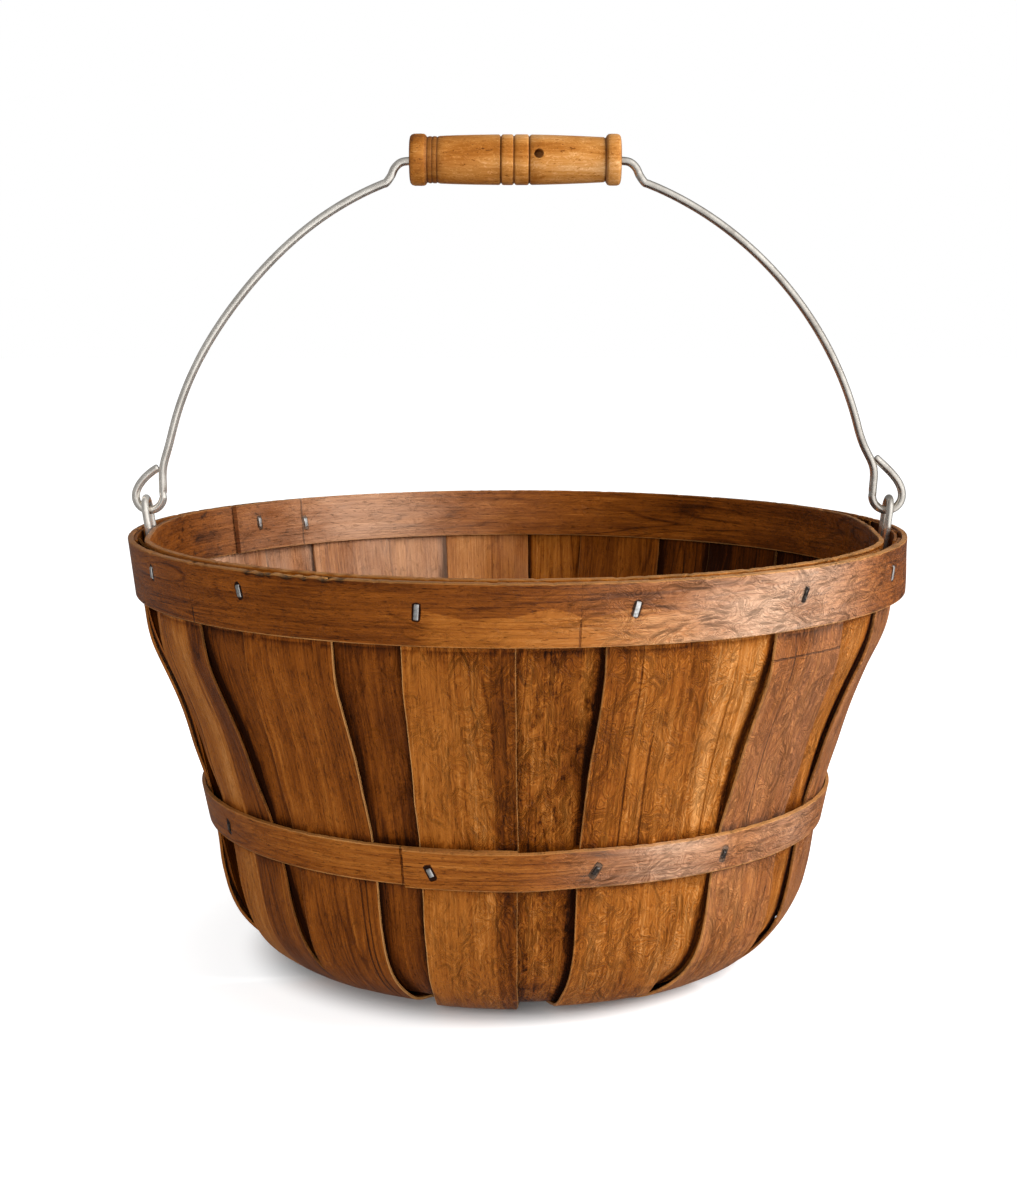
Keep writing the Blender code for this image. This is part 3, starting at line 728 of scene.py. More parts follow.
def shade_ramp(tree, value, shades):
    """Colours along a value, as (place, colour) pairs."""
    ramp = add(tree, "ShaderNodeValToRGB", {0: value})
    while len(ramp.color_ramp.elements) < len(shades):
        ramp.color_ramp.elements.new(0.5)
    for element, (place, colour) in zip(ramp.color_ramp.elements, shades):
        element.position = place
        element.color = (*colour, 1.0)
    return ramp.outputs["Color"]


def blend(tree, share, first_colour, second_colour):
    """One colour laid over another by a share."""
    sockets = {0: share, 6: first_colour, 7: (*second_colour, 1.0)}
    return add(tree, "ShaderNodeMix", sockets, data_type="RGBA").outputs[2]


def new_finish(name, metallic=0.0, specular=0.5):
    """A material, its tree and its shader."""
    material = bpy.data.materials.new(name)
    material.use_nodes = True
    shader = material.node_tree.nodes["Principled BSDF"]
    shader.inputs["Metallic"].default_value = metallic
    shader.inputs["Specular IOR Level"].default_value = specular
    return material, material.node_tree, shader


def end_finish(tree, shader, colour, roughness, relief=None, strength=1.0, distance=0.0):
    """Link colour and roughness to the shader, and relief as a bump."""
    tree.links.new(colour, shader.inputs["Base Color"])
    tree.links.new(roughness, shader.inputs["Roughness"])
    if relief is not None:
        bump = add(tree, "ShaderNodeBump", {"Height": relief, "Strength": strength, "Distance": distance})
        tree.links.new(bump.outputs["Normal"], shader.inputs["Normal"])


# %% Patterns of the wood
def grain_patterns(tree, at, curl_share):
    """All patterns that follow the grain. Masks and lines are 1 where they show."""
    _, less, times, _ = sums(tree)
    grain = lambda *scales, **looks: grain_noise(tree, stretched(tree, at, *scales), **looks)
    mask = lambda *values: fade(tree, *values)

    # Figure: thin lines where a slow noise crosses a row of levels
    rings = grain(48.0, 4.6, detail=1.5, roughness=0.45, distortion=0.35)
    ring_lines = mask(calc(tree, "PINGPONG", times(rings, 13.0), 0.5), 0.34, 0.5)
    ring_lines = times(ring_lines, mask(grain(24.0, 9.0, 3.0, detail=1.0), 0.42, 0.62))

    # Curls: a furrow of painted shade with a painted highlight on the ridge beside it
    swirl = grain(140.0, 72.0, detail=1.0, roughness=0.35, distortion=1.1)
    swirl_mask = mask(grain(70.0, 45.0, 5.0), 0.32, 0.58, 0.30, 1.0)
    swirl_wave = calc(tree, "PINGPONG", times(swirl, 13.0), 0.5)
    furrow = mask(swirl_wave, 0.04, 0.18, 1.0, 0.0)
    ridge = times(mask(swirl_wave, 0.20, 0.30), mask(swirl_wave, 0.34, 0.46, 1.0, 0.0))
    return SimpleNamespace(
        hairs=grain(3000.0, 90.0, detail=2.0, roughness=0.6),
        fibres=grain(950.0, 26.0, detail=4.0, roughness=0.62),
        streaks=grain(230.0, 4.5, detail=4.0, roughness=0.62),
        patches=grain(36.0, 14.0, detail=4.0, roughness=0.55),
        ring_lines=ring_lines,
        curls=times(times(less(times(furrow, 0.8), ridge), swirl_mask), curl_share),
        pores=mask(grain(1900.0, 200.0, detail=2.0, roughness=0.6), 0.60, 0.72),
        glints=mask(grain(1500.0, 120.0, 4.0, detail=2.0, roughness=0.6), 0.60, 0.74),
        spots=mask(grain(330.0, 120.0, 2.0, detail=4.0, roughness=0.65), 0.56, 0.68),
        soot=mask(grain(60.0, 26.0, 7.0, detail=5.0, roughness=0.65), 0.47, 0.66))


def drawn_lines(tree, wobble):
    """Tone of the bands, the cracks, and the painted shade round staples, stored as the third crack."""
    plus, _, times, _ = sums(tree)
    (_, band), (_, step), (_, crack) = (stored(tree, name) for name in ("bands", "steps", "cracks"))
    band_sum, cracks = 0.0, 0.0
    for slot in range(3):
        past_edge = fade(tree, plus(band[slot], wobble), -0.0005, 0.0005)
        band_sum = plus(times(past_edge, step[slot]), band_sum)
    for slot in range(2):
        near = calc(tree, "ABSOLUTE", plus(crack[slot], wobble))
        cracks = calc(tree, "MAXIMUM", fade(tree, near, 0.00015, 0.00060, 1.0, 0.0), cracks)
    return band_sum, cracks, fade(tree, crack[2], 0.00040, 0.00110, 1.0, 0.0)


# %% Build a wood finish
FIBRE, HAIR, FIGURE, CURL, GLINT = 0.52, 0.22, 0.16, 0.13, 0.10
CRACK_DARK, SOCKET_DARK, PORE_DARK, WOBBLE = 0.25, 0.80, 0.16, 0.0014


def wood_finish(name, streak=0.46, blotch=0.30, rough=0.42, gloss=0.10):
    """Stained veneer or bent wood that follows its own strip."""
    material, tree, shader = new_finish(name, specular=gloss)
    plus, less, times, _ = sums(tree)
    centred = lambda value, size: times(less(value, 0.5), size)
    mask = lambda *values: fade(tree, *values)
    at, _ = stored(tree, "at")
    _, (tone, stain, edge) = stored(tree, "marks")
    _, (painted_sheen, raw_and_lit_edge, _) = stored(tree, "sheen_and_bare_edge")
    _, (gap, gap_strength, curl_share) = stored(tree, "gaps")
    wood = grain_patterns(tree, at, curl_share)
    wobble = centred(wood.streaks, WOBBLE)
    band_sum, cracks, socket_shade = drawn_lines(tree, wobble)

    # Shade from dark to light, then its colour
    shade = total(tree, tone, centred(wood.fibres, FIBRE), centred(wood.hairs, HAIR),
                  centred(wood.streaks, streak), centred(wood.patches, blotch), band_sum,
                  times(wood.glints, GLINT))
    stains = times(stain, plus(times(wood.spots, 0.26), times(wood.soot, 0.20)))
    # Painted shadow beside the edges of the splints over this one and under the hoops
    far_gap, near_gap = mask(gap, 0.0, 0.0065, 1.0, 0.0), mask(gap, 0.0008, 0.0030, 1.0, 0.0)
    painted_gap_shade = times(plus(times(far_gap, 0.34), times(near_gap, 0.36)), gap_strength)
    # Among these darkenings, the ring round each staple is painted shade of its dent
    for darker in (times(wood.ring_lines, FIGURE), times(wood.curls, CURL), times(wood.pores, PORE_DARK),
                   stains, times(cracks, CRACK_DARK), times(socket_shade, SOCKET_DARK), painted_gap_shade):
        shade = less(shade, darker)
    colour = shade_ramp(tree, shade, ((0.02, DEEP), (0.27, BROWN), (0.50, WARM), (0.72, TAN), (1.0, PALE)))

    # A painted sheen where the key light gleams, and the bare cut edges, lie over the stain
    wear_and_sheen = total(tree, mask(wood.patches, 0.30, 0.62, 0.35, 1.0), centred(wood.fibres, 0.9),
                 times(wood.curls, -0.24))
    colour = blend(tree, times(times(painted_sheen, wear_and_sheen), 0.80), colour, PAINTED_SHEEN_COLOUR)
    bared = total(tree, edge, times(wobble, 0.4), centred(wood.fibres, 0.0003))
    colour = blend(tree, times(mask(bared, 0.00015, 0.00065, 1.0, 0.0), raw_and_lit_edge), colour, BARE)

    dull = total(tree, centred(wood.fibres, 0.20), centred(wood.patches, 0.20), times(wood.curls, 0.12),
                 rough, times(painted_gap_shade, 0.9))
    relief = total(tree, times(wood.fibres, 0.60), times(wood.streaks, 0.55), times(wood.hairs, 0.20),
                   times(wood.curls, -0.42), times(wood.pores, -0.45), times(wood.ring_lines, -0.20),
                   times(cracks, -1.4), times(socket_shade, -1.0))
    end_finish(tree, shader, colour, dull, relief, distance=0.00065)
    return material


splint_veneer = wood_finish("splint_veneer")
# A veneer without gloss for inner 5, which is painted dark as shade
shadow_strip_veneer = wood_finish("shadow_strip_veneer", gloss=0.0)
hoop_wood = wood_finish("hoop_wood", streak=0.36, blotch=0.32, rough=0.36, gloss=0.14)
print("splint veneer:", len(splint_veneer.node_tree.nodes), "nodes")

# %% Make the fourteen splints
splints = [loft_splint(outer, number, shadow_strip_veneer if (outer, number) == (False, 5) else splint_veneer)
           for outer in (True, False) for number in range(1, 8)]
print("splints:", len(splints), "pieces,", sum(len(piece.data.polygons) for piece in splints), "faces")


# %% [markdown]
# ## The three hoops
# A hoop is a straight strip of wood, steamed, bent round the basket and lapped over its own end. That is a
# rule: one path that turns a little more than once round and drops by a thickness after the lap, and one
# section, a rectangle with eased corners, swept along it. Geometry Nodes suit it, because the three hoops
# differ only in numbers. The inner top hoop also bows inward on both sides, to leave room for the ears.

# %% Inputs and end of a Geometry Nodes tree
NUMBER = "NodeSocketFloat"


def new_tree(name, numbers, **counts):
    """A tree with named inputs, and the outputs of its input node by name."""
    tree = bpy.data.node_groups.new(name, "GeometryNodeTree")
    for way in ("OUTPUT", "INPUT"):
        tree.interface.new_socket("Geometry", in_out=way, socket_type="NodeSocketGeometry")
    kinds = [(label, NUMBER, value) for label, value in numbers.items()]
    kinds += [(label, "NodeSocketInt", value) for label, value in counts.items()]
    for label, kind, value in kinds:
        tree.interface.new_socket(label, in_out="INPUT", socket_type=kind).default_value = value
    return tree, tree.nodes.new("NodeGroupInput").outputs


def close_tree(tree, geometry, finish):
    """Realize the instances, set the material and end the tree."""
    real = first(tree, "GeometryNodeRealizeInstances", {0: geometry})
    done = first(tree, "GeometryNodeSetMaterial", {0: real, "Material": finish})
    add(tree, "NodeGroupOutput", {0: done})


def read(tree, label, kind="FLOAT"):
    """An attribute that an earlier node or the script stored."""
    return first(tree, "GeometryNodeInputNamedAttribute", {"Name": label}, data_type=kind)


def store(tree, geometry, label, value, kind="FLOAT"):
    """Store a value on the points."""
    places = {"Geometry": geometry, "Name": label, "Value": value}
    return first(tree, "GeometryNodeStoreNamedAttribute", places, data_type=kind, domain="POINT")


def plain_mesh(piece):
    """The evaluated shape of an object, as a mesh of its own."""
    bpy.context.view_layer.update()
    return bpy.data.meshes.new_from_object(piece.evaluated_get(bpy.context.evaluated_depsgraph_get()))


def grow(name, tree, values, start_mesh=None):
    """Run a tree on an object and keep the result as its plain mesh."""
    piece = bpy.data.objects.new(name, start_mesh or bpy.data.meshes.new(name))
    bpy.context.scene.collection.objects.link(piece)
    made = piece.modifiers.new("made", "NODES")
    made.node_group = tree
    for item in tree.interface.items_tree:
        if item.in_out == "INPUT" and item.name in values:
            made[item.identifier] = values[item.name]
    mesh = plain_mesh(piece)
    piece.modifiers.clear()
    piece.data = mesh
    tidy_normals(mesh)
    return piece


# %% The tree that bends a strip into a lapped hoop
SECTION_CUTS, EASED_POINTS, EASED_CORNER = 11, 2, 0.0005
EAR_POCKET, CHIP_LEVEL, CHIP_SCALE = (0.021, 0.061), 0.54, -4.0


def hoop_path(tree, given, lean, middle, mean):
    """The lapped path, and the length run along it."""
    plus, less, times, parts = sums(tree)
    path = first(tree, "GeometryNodeCurvePrimitiveLine", {"End": (1.0, 0.0, 0.0)})
    path = first(tree, "GeometryNodeResampleCurve", {"Curve": path, "Count": given["Steps"]})
    share = add(tree, "GeometryNodeSplineParameter").outputs["Factor"]
    lap = parts(given["Lap Length"], mean)
    turned = times(share, plus(lap, 2.0 * math.pi))
    over = fade(tree, turned, lap, plus(lap, parts(given["Lap Ramp"], mean)), 1.0, 0.0)
    step_out = times(over, plus(given["Thickness"], HOOP_GAP))
    angle = plus(given["Start Angle"], times(turned, given["Side"]))
    across_ears = calc(tree, "ABSOLUTE", calc(tree, "COSINE", angle))
    ear_distance = times(calc(tree, "ARCSINE", across_ears), mean)
    pocket = times(fade(tree, ear_distance, *EAR_POCKET, 1.0, 0.0), given["Pocket Depth"])
    away = times(plus(step_out, pocket), given["Side"])
    reach = plus(mean, times(away, calc(tree, "COSINE", lean)))
    drop = less(middle, times(away, calc(tree, "SINE", lean)))
    place = first(tree, "ShaderNodeCombineXYZ", {
        "X": times(reach, calc(tree, "SINE", angle)),
        "Y": times(reach, times(calc(tree, "COSINE", angle), -1.0)), "Z": drop})
    bent = first(tree, "GeometryNodeSetPosition", {"Geometry": path, "Position": place})
    level = first(tree, "GeometryNodeSetCurveNormal", {"Curve": bent}, mode="Z_UP")
    return store(tree, level, "run", times(turned, mean))


def hoop_section(tree, given, lean, width):
    """The strip's section, leaned with the wall, with its height stored as up."""
    _, _, times, _ = sums(tree)
    strip = {"Width": given["Thickness"], "Height": width}
    strip = first(tree, "GeometryNodeCurvePrimitiveQuadrilateral", strip)
    cut = first(tree, "GeometryNodeSubdivideCurve", {"Curve": strip, "Cuts": SECTION_CUTS})
    corners = {"Curve": cut, "Count": EASED_POINTS, "Radius": EASED_CORNER}
    eased = first(tree, "GeometryNodeFilletCurve", corners, mode="POLY")
    spot = add(tree, "ShaderNodeSeparateXYZ", {0: first(tree, "GeometryNodeInputPosition")})
    sized = store(tree, eased, "up", times(spot.outputs["Y"], -1.0))
    outward = first(tree, "ShaderNodeCombineXYZ", {"X": times(given["Thickness"], 0.5)})
    pushed = first(tree, "GeometryNodeTransform", {"Geometry": sized, "Translation": outward})
    tilt = first(tree, "ShaderNodeCombineXYZ", {"Z": times(lean, given["Side"])})
    return first(tree, "GeometryNodeTransform", {"Geometry": pushed, "Rotation": tilt})


def worn_hoop(tree, given, swept, width):
    """Ripple the faces, chip the top edge, and store the grain's place."""
    _, less, times, parts = sums(tree)
    up = read(tree, "up")
    grain_place = first(tree, "ShaderNodeCombineXYZ", {"X": up, "Y": read(tree, "run"), "Z": given["Seed"]})
    wave_place = stretched(tree, grain_place, 26.0, 9.0)
    wave = first(tree, "ShaderNodeTexNoise", {"Vector": wave_place, "Scale": 1.0, "Detail": 2.0})
    ripple = times(less(wave, 0.5), given["Ripple"])
    normal = first(tree, "GeometryNodeInputNormal")
    shove = first(tree, "ShaderNodeVectorMath", {0: normal, "Scale": ripple}, operation="SCALE")
    wear_and_sheen = first(tree, "GeometryNodeSetPosition", {"Geometry": swept, "Offset": shove})
    chip_place = stretched(tree, grain_place, 0.0, 240.0, 2.0)
    chip = first(tree, "ShaderNodeTexNoise", {"Vector": chip_place, "Scale": 1.0, "Detail": 3.0})
    chip = calc(tree, "MAXIMUM", less(chip, CHIP_LEVEL), 0.0)
    at_top = fade(tree, parts(up, times(width, 0.5)), 0.86, 0.98)
    loss = times(times(chip, at_top), times(given["Chips"], CHIP_SCALE))
    fall = first(tree, "ShaderNodeCombineXYZ", {"Z": loss})
    wear_and_sheen = first(tree, "GeometryNodeSetPosition", {"Geometry": wear_and_sheen, "Offset": fall})
    return store(tree, wear_and_sheen, "at", grain_place, "FLOAT_VECTOR")


def hoop_tree(finish):
    """Sweep an eased strip round the basket."""
    tree, given = new_tree("bent_hoop", {
        "Low Radius": 0.19, "High Radius": 0.19, "Low Height": 0.19, "High Height": 0.21, "Side": 1.0,
        "Thickness": TOP_HOOP_THICKNESS, "Start Angle": 0.0, "Lap Length": 0.05, "Lap Ramp": 0.03,
        "Pocket Depth": 0.0, "Ripple": 0.0003, "Chips": 0.0008, "Seed": 0.0}, Steps=680)
    plus, less, times, _ = sums(tree)
    mean = times(plus(given["Low Radius"], given["High Radius"]), 0.5)
    middle = times(plus(given["Low Height"], given["High Height"]), 0.5)
    flare = less(given["High Radius"], given["Low Radius"])
    rise = less(given["High Height"], given["Low Height"])
    lean = calc(tree, "ARCTAN2", flare, rise)
    width = calc(tree, "SQRT", plus(times(flare, flare), times(rise, rise)))
    curves = {"Curve": hoop_path(tree, given, lean, middle, mean),
              "Profile Curve": hoop_section(tree, given, lean, width), "Fill Caps": True}
    swept = first(tree, "GeometryNodeCurveToMesh", curves)
    close_tree(tree, worn_hoop(tree, given, swept, width), finish)
    return tree


bend_a_hoop = hoop_tree(hoop_wood)
print("hoop tree:", len(bend_a_hoop.nodes), "nodes")


# %% Bend the three hoops
def strip_line(low, high, depth):
    """Radius and height of a hoop's lower and upper edge, at a depth into the wall."""
    ends = []
    for height in (low, high):
        radius, slope = wall_radius(height)
        size = math.hypot(1.0, slope)
        ends.append((radius - depth / size, height + depth * slope / size))
    return ends


def bend_hoop(name, node, low, high, thickness, side, start, seed, pocket=0.0):
    """One hoop, outside the splints for side 1 and inside them for side -1."""
    depth = -HOOP_GAP if side > 0 else WALL_DEPTH + HOOP_GAP
    (low_radius, low_height), (high_radius, high_height) = strip_line(low, high, depth)
    hoop = grow(name, bend_a_hoop, {
        "Low Radius": low_radius, "High Radius": high_radius, "Low Height": low_height,
        "High Height": high_height, "Thickness": thickness, "Side": float(side),
        "Start Angle": math.radians(start), "Pocket Depth": pocket, "Seed": seed})
    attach(hoop, "basket")
    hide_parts(node)
    return hoop


OUTER_LAP, INNER_LAP, MIDDLE_LAP = 126.0, -121.6, -18.0
INNER_POCKET = 0.00375
outer_low, inner_low = RIM_HEIGHT - TOP_HOOP_WIDTH, RIM_HEIGHT - INNER_HOOP_WIDTH
middle_low = WAIST_HEIGHT - MIDDLE_HOOP_WIDTH / 2.0
middle_high = middle_low + MIDDLE_HOOP_WIDTH
outer_hoop = bend_hoop("rim_hoop_outside", "top_hoop_outer", outer_low, RIM_HEIGHT, TOP_HOOP_THICKNESS,
                       1, OUTER_LAP, 3.1)
inner_hoop = bend_hoop("rim_hoop_inside", "top_hoop_inner", inner_low, RIM_HEIGHT, INNER_HOOP_THICKNESS,
                       -1, INNER_LAP, 5.3, INNER_POCKET)
middle_hoop = bend_hoop("waist_hoop", "middle_hoop", middle_low, middle_high, MIDDLE_HOOP_THICKNESS,
                        1, MIDDLE_LAP, 8.7)
made = {"top_hoop_outer": outer_hoop, "top_hoop_inner": inner_hoop, "middle_hoop": middle_hoop}
for name, hoop in made.items():
    low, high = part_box(name)
    co = vectors_of(hoop.data.vertices, "co")
    print(name, "frame", [round(value, 4) for value in (*low, *high)], "made", co.min(0), co.max(0))


# %% [markdown]
# ## Chips, stains and staples on the hoops
# A hoop's marks follow what happened to it: chips broke out of its top edge, and rust stained it round the
# rusty staples. Every staple also gets a ring of painted shade round its dent, and a painted sheen lies where
# the key light gleams, most on the right of the rim. The places of the staples are written down first,
# because both the shade round them and the staples themselves are made there.

# %% Places of the staples
# Each staple: hoop, angle in degrees, height in millimetres, lean in degrees
BRIGHT_STAPLES = (("rim", -61.2, 207.5, 3), ("rim", -38.9, 207.5, -9), ("rim", -12.5, 204, 5),
                  ("rim", 15.4, 205, 14), ("rim", 66.6, 205, 4), ("waist", -13.6, 83, -24),
                  ("lap", -127.3, 206, 3), ("lap", -138.1, 203, 8))
DULL_STAPLES = (("rim", 41.5, 205, 18), ("waist", 13.0, 83, 30), ("waist", 37.0, 83, 12),
                ("waist", -60.2, 83, 10))
HALF_CROWN, HALF_STAPLE_WIRE = 0.0033, 0.0011


def staples_of(kind, middle):
    """Angle, height on the hoop and lean of a hoop's staples in view."""
    return [(degrees, (height - middle) / 1000.0, lean)
            for hoop, degrees, height, lean in BRIGHT_STAPLES + DULL_STAPLES if hoop == kind]


def staple_distance(degrees, up, radius, staples):
    """Distance from each vertex to the edge of the nearest staple's crown, negative under it."""
    nearest = np.ones(len(up))
    for place, middle, lean in staples:
        away = np.radians(turned_from(degrees, place)) * radius
        rise = up - middle
        turn = math.radians(lean)
        beside = np.abs(away * math.cos(turn) - rise * math.sin(turn)) - HALF_STAPLE_WIRE
        along = np.abs(away * math.sin(turn) + rise * math.cos(turn)) - HALF_CROWN
        outside = np.hypot(np.maximum(beside, 0.0), np.maximum(along, 0.0))
        nearest = np.minimum(nearest, outside + np.minimum(np.maximum(beside, along), 0.0))
    return nearest


print("staples in view:", len(BRIGHT_STAPLES) + len(DULL_STAPLES))


# %% Chips out of the rim hoop's top edge
# Each chip on the left: angle and half length in degrees, depth in millimetres
CHIPS = ((-37.2, 0.5, 0.7), (-34.8, 0.7, 1.1), (-33.4, 0.4, 0.8), (-30.6, 0.9, 1.2), (-27.9, 0.4, 0.9),
         (-25.0, 0.6, 1.3), (-22.6, 0.4, 0.6))
HALF_RIM = TOP_HOOP_WIDTH / 2.0


def chip_edge(hoop):
    """Break the chips out of the rim hoop's top edge."""
    co = vectors_of(hoop.data.vertices, "co")
    up = vectors_of(hoop.data.attributes["at"].data, "vector")[:, 0]
    at_top = smooth_step(up, HALF_RIM - 0.0010, HALF_RIM - 0.0002)
    angle = angles_of(co)
    for place, reach, depth in CHIPS:
        co[:, 2] -= at_top * depth / 1000.0 * hill(angle, place, reach)
    move_to(hoop.data, co)


def chipped(angle, up):
    """1 in the breaks of the chips, 0 elsewhere."""
    near = sum(hill(angle, place, 1.2 * reach) for place, reach, _ in CHIPS)
    return np.minimum(near, 1.0) * smooth_step(up, HALF_RIM - 0.0022, HALF_RIM - 0.0008)


chip_edge(outer_hoop)
push_piece(outer_hoop, rim_push)
push_piece(inner_hoop, inner_push)
print("chips:", len(CHIPS))


# %% Marks on the hoops
# A long figure line on the rim hoop's front, lighter below it: angles in degrees and heights in millimetres
FIGURE_LINE = ((-13.0, 2.5), (-11.6, 1.9), (-6.6, -1.7), (-0.3, -0.6), (2.7, 2.2), (4.7, 3.2), (7.2, 1.4),
               (8.6, -1.7), (14.4, 2.2), (24.0, 0.5), (30.0, -3.0))
BARE_EDGE, NO_BAND, HOOP_CURLS_FROM = 0.35, -1.0, 2.0


def mark_hoop(hoop, width, tone, stain, painted_sheen, cracks, staples, figure_step=0.0):
    """Store tone, stains, cracks, bare edges, painted sheen, highlight and shade on a hoop's vertices."""
    mesh = hoop.data
    co = vectors_of(mesh.vertices, "co")
    up = vectors_of(mesh.attributes["at"].data, "vector")[:, 0]
    angle, radius = angles_of(co), np.hypot(co[:, 0], co[:, 1])
    columns = []
    for place, low, high in cracks:
        away = np.radians(turned_from(angle, place)) * radius
        past = np.maximum(np.maximum(low / 1000.0 - up, up - high / 1000.0), 0.0)
        columns.append(away + np.where(away < 0.0, -1.0, 1.0) * past)
    while len(columns) < 2:
        columns.append(np.ones(len(up)))
    # The third crack is the way to the nearest staple, for the painted shade round its dent
    set_vector(mesh, "cracks", *columns, staple_distance(angle, up, radius, staples))
    line = np.interp(angle, *np.array(FIGURE_LINE).T) / 1000.0
    in_reach = smooth_step(angle, -15.0, -9.0) * (1.0 - smooth_step(angle, 20.0, 32.0))
    set_vector(mesh, "bands", line - up, NO_BAND, NO_BAND)
    set_vector(mesh, "steps", figure_step * in_reach)
    set_vector(mesh, "marks", tone(angle, up), stain(angle), width / 2.0 - np.abs(up))
    # The cut top edge is paler; round 45 degrees, on the lit right, the paler edge is also a painted
    # highlight
    bare_and_lit_edge = BARE_EDGE + 0.4 * hill(angle, 45.0, 35.0) + 0.4 * hill(angle, -30.0, 9.0)
    set_vector(mesh, "sheen_and_bare_edge", painted_sheen(angle), bare_and_lit_edge * (1.0 - 0.9 * chipped(angle, up)))
    set_vector(mesh, "gaps", 1.0, 0.0, curl_strength(angle, HOOP_CURLS_FROM))


def rim_tone(angle, up):
    """Outer rim hoop tone: a painted highlight on the right, painted shade on the left, dark in its chips."""
    return (0.46 + 0.13 * hill(angle, 32.0, 26.0) - 0.06 * hill(angle, -30.0, 20.0)
            - 0.05 * hill(angle, 70.0, 16.0) - 0.50 * chipped(angle, up))


# Each hoop gets a painted sheen where the key light gleams: the rim on its right, the inner hoop on its
# inside left, the waist hoop on its right front.
mark_hoop(outer_hoop, TOP_HOOP_WIDTH, rim_tone,
          stain=lambda angle: 0.25 + 1.1 * hill(angle, 42.0, 7.0),
          painted_sheen=lambda angle: 0.95 * hill(angle, 35.0, 16.0),
          cracks=((8.2, -14.0, -3.0), (-49.5, -14.0, -7.0)), staples=staples_of("rim", 203.0),
          figure_step=0.20)
# Inner rim hoop: painted shade on its inside back right, round 130 degrees, where the key light doesn't
# reach, and a stain by the left ear
mark_hoop(inner_hoop, INNER_HOOP_WIDTH,
          lambda angle, up: 0.54 - 0.18 * hill(angle, 130.0, 40.0) - 0.15 * hill(angle, -108.0, 15.0),
          stain=lambda angle: 0.3 + 0.9 * hill(angle, -108.0, 15.0),
          painted_sheen=lambda angle: 0.62 * hill(angle, -148.0, 22.0),
          cracks=((-137.4, -14.0, 14.0),), staples=staples_of("lap", 203.8))
mark_hoop(middle_hoop, MIDDLE_HOOP_WIDTH,
          lambda angle, up: 0.57 - 0.04 * hill(angle, -60.0, 30.0),
          stain=lambda angle: 0.3 + 0.8 * hill(angle, 13.0, 3.0) + 0.5 * hill(angle, 37.0, 2.5),
          painted_sheen=lambda angle: np.maximum(0.95 * hill(angle, 25.0, 12.0), 0.42 * hill(angle, 52.0, 14.0)),
          cracks=((-18.6, -9.0, 9.0),), staples=staples_of("waist", 84.0))
print("attributes on a hoop:", len(middle_hoop.data.attributes))


# %% [markdown]
# ## Galvanised wire
# The bail and the ears are hard zinc-coated wire, bent cold. A curve with a round bevel is the natural way to
# make a wire: its points are the path the maker bent, and the bevel is the wire's thickness. The bow isn't a
# perfect arc, because it was bent by hand: its left shoulder is a little flatter.

# %% Finish of the wire
PAINTED_LIGHT_FADE = (-0.10, 0.02)


def wire_finish(name):
    """Zinc with a soft mottle; painted light makes it paler and less metallic towards the left."""
    material, tree, shader = new_finish(name, metallic=0.92)
    _, _, times, _ = sums(tree)
    place = add(tree, "ShaderNodeTexCoord").outputs["Object"]
    fine = grain_noise(tree, stretched(tree, place, 700.0, 700.0, 700.0), 2.0)
    broad = grain_noise(tree, stretched(tree, place, 90.0, 90.0, 90.0), 3.0)
    cells = {"Vector": stretched(tree, place, 600.0, 600.0, 600.0), "Scale": 1.0}
    cells = add(tree, "ShaderNodeTexVoronoi", cells, feature="F1").outputs["Distance"]
    sideways = first(tree, "ShaderNodeSeparateXYZ", {0: place})
    # Painted light: paler towards the left, where less light reaches the wire
    shade = total(tree, times(fine, 0.08), times(broad, 0.5), times(cells, 0.06),
                  fade(tree, sideways, *PAINTED_LIGHT_FADE, 0.28, 0.15))
    zinc_shades = ((0.36, (0.50, 0.455, 0.40)), (0.47, (0.68, 0.635, 0.57)), (0.64, (0.96, 0.91, 0.83)))
    tree.links.new(fade(tree, sideways, *PAINTED_LIGHT_FADE, 0.76, 0.92), shader.inputs["Metallic"])
    end_finish(tree, shader, shade_ramp(tree, shade, zinc_shades), fade(tree, shade, 0.36, 0.60, 0.28, 0.20),
               broad, strength=0.07, distance=0.00010)
    return material


zinc = wire_finish("zinc_wire")
print("zinc wire:", len(zinc.node_tree.nodes), "nodes")

# %% Sizes of the bail and the ears
WIRE, EAR_WIRE = 0.0041, 0.0036
PIVOT_HEIGHT = RIM_HEIGHT + 0.0091
BOW_DROP = 0.0036
BOW_CENTRE = PIVOT_HEIGHT - BOW_DROP
EYE_RADIUS, EYE_SLACK = 0.0069, 0.0011
JOG_RUN, JOG_RISE = 0.0135, 0.0116
GRIP_LENGTH = 0.104


def ear_reach(height):
    """How far out the ear stands at a height."""
    radius, slope = wall_radius(min(height, RIM_HEIGHT))
    return radius + slope * max(height - RIM_HEIGHT, 0.0) - WALL_DEPTH - HOOP_GAP - EAR_WIRE / 2.0


EYE_X = ear_reach(PIVOT_HEIGHT) - EYE_SLACK
BOW_RADIUS = math.hypot(EYE_X - EYE_RADIUS, EYE_RADIUS + BOW_DROP)
print("bow radius", round(BOW_RADIUS * 1000, 1), "mm")

# %% Path of half a bail
# Of each half, in metres: how much the shoulder is flattened, the rise and gap of the eye's tail, the eye's
# radius, how far the eye and ear stand out, the knee above the eye, and the tail's first handle
LEFT_HALF = {"flat": 0.0021, "rise": 0.0215, "tip": 0.0024, "eye": 0.0069, "lean": 0.0002, "knee": 0.0012,
             "bend": (0.0040, -0.0018)}
RIGHT_HALF = {"flat": 0.0004, "rise": 0.0268, "tip": 0.0031, "eye": 0.0075, "lean": 0.0025, "knee": 0.0022,
              "bend": (0.0036, -0.0040)}
# The step up to the grip, as shares of its run and of its rise, and a short way into the grip
JOG_SHARES = ((0.0, 0.037), (0.13, 0.10), (0.31, 0.38), (0.45, 0.71), (0.68, 0.94), (1.0, 1.0))
INTO_GRIP = 0.004


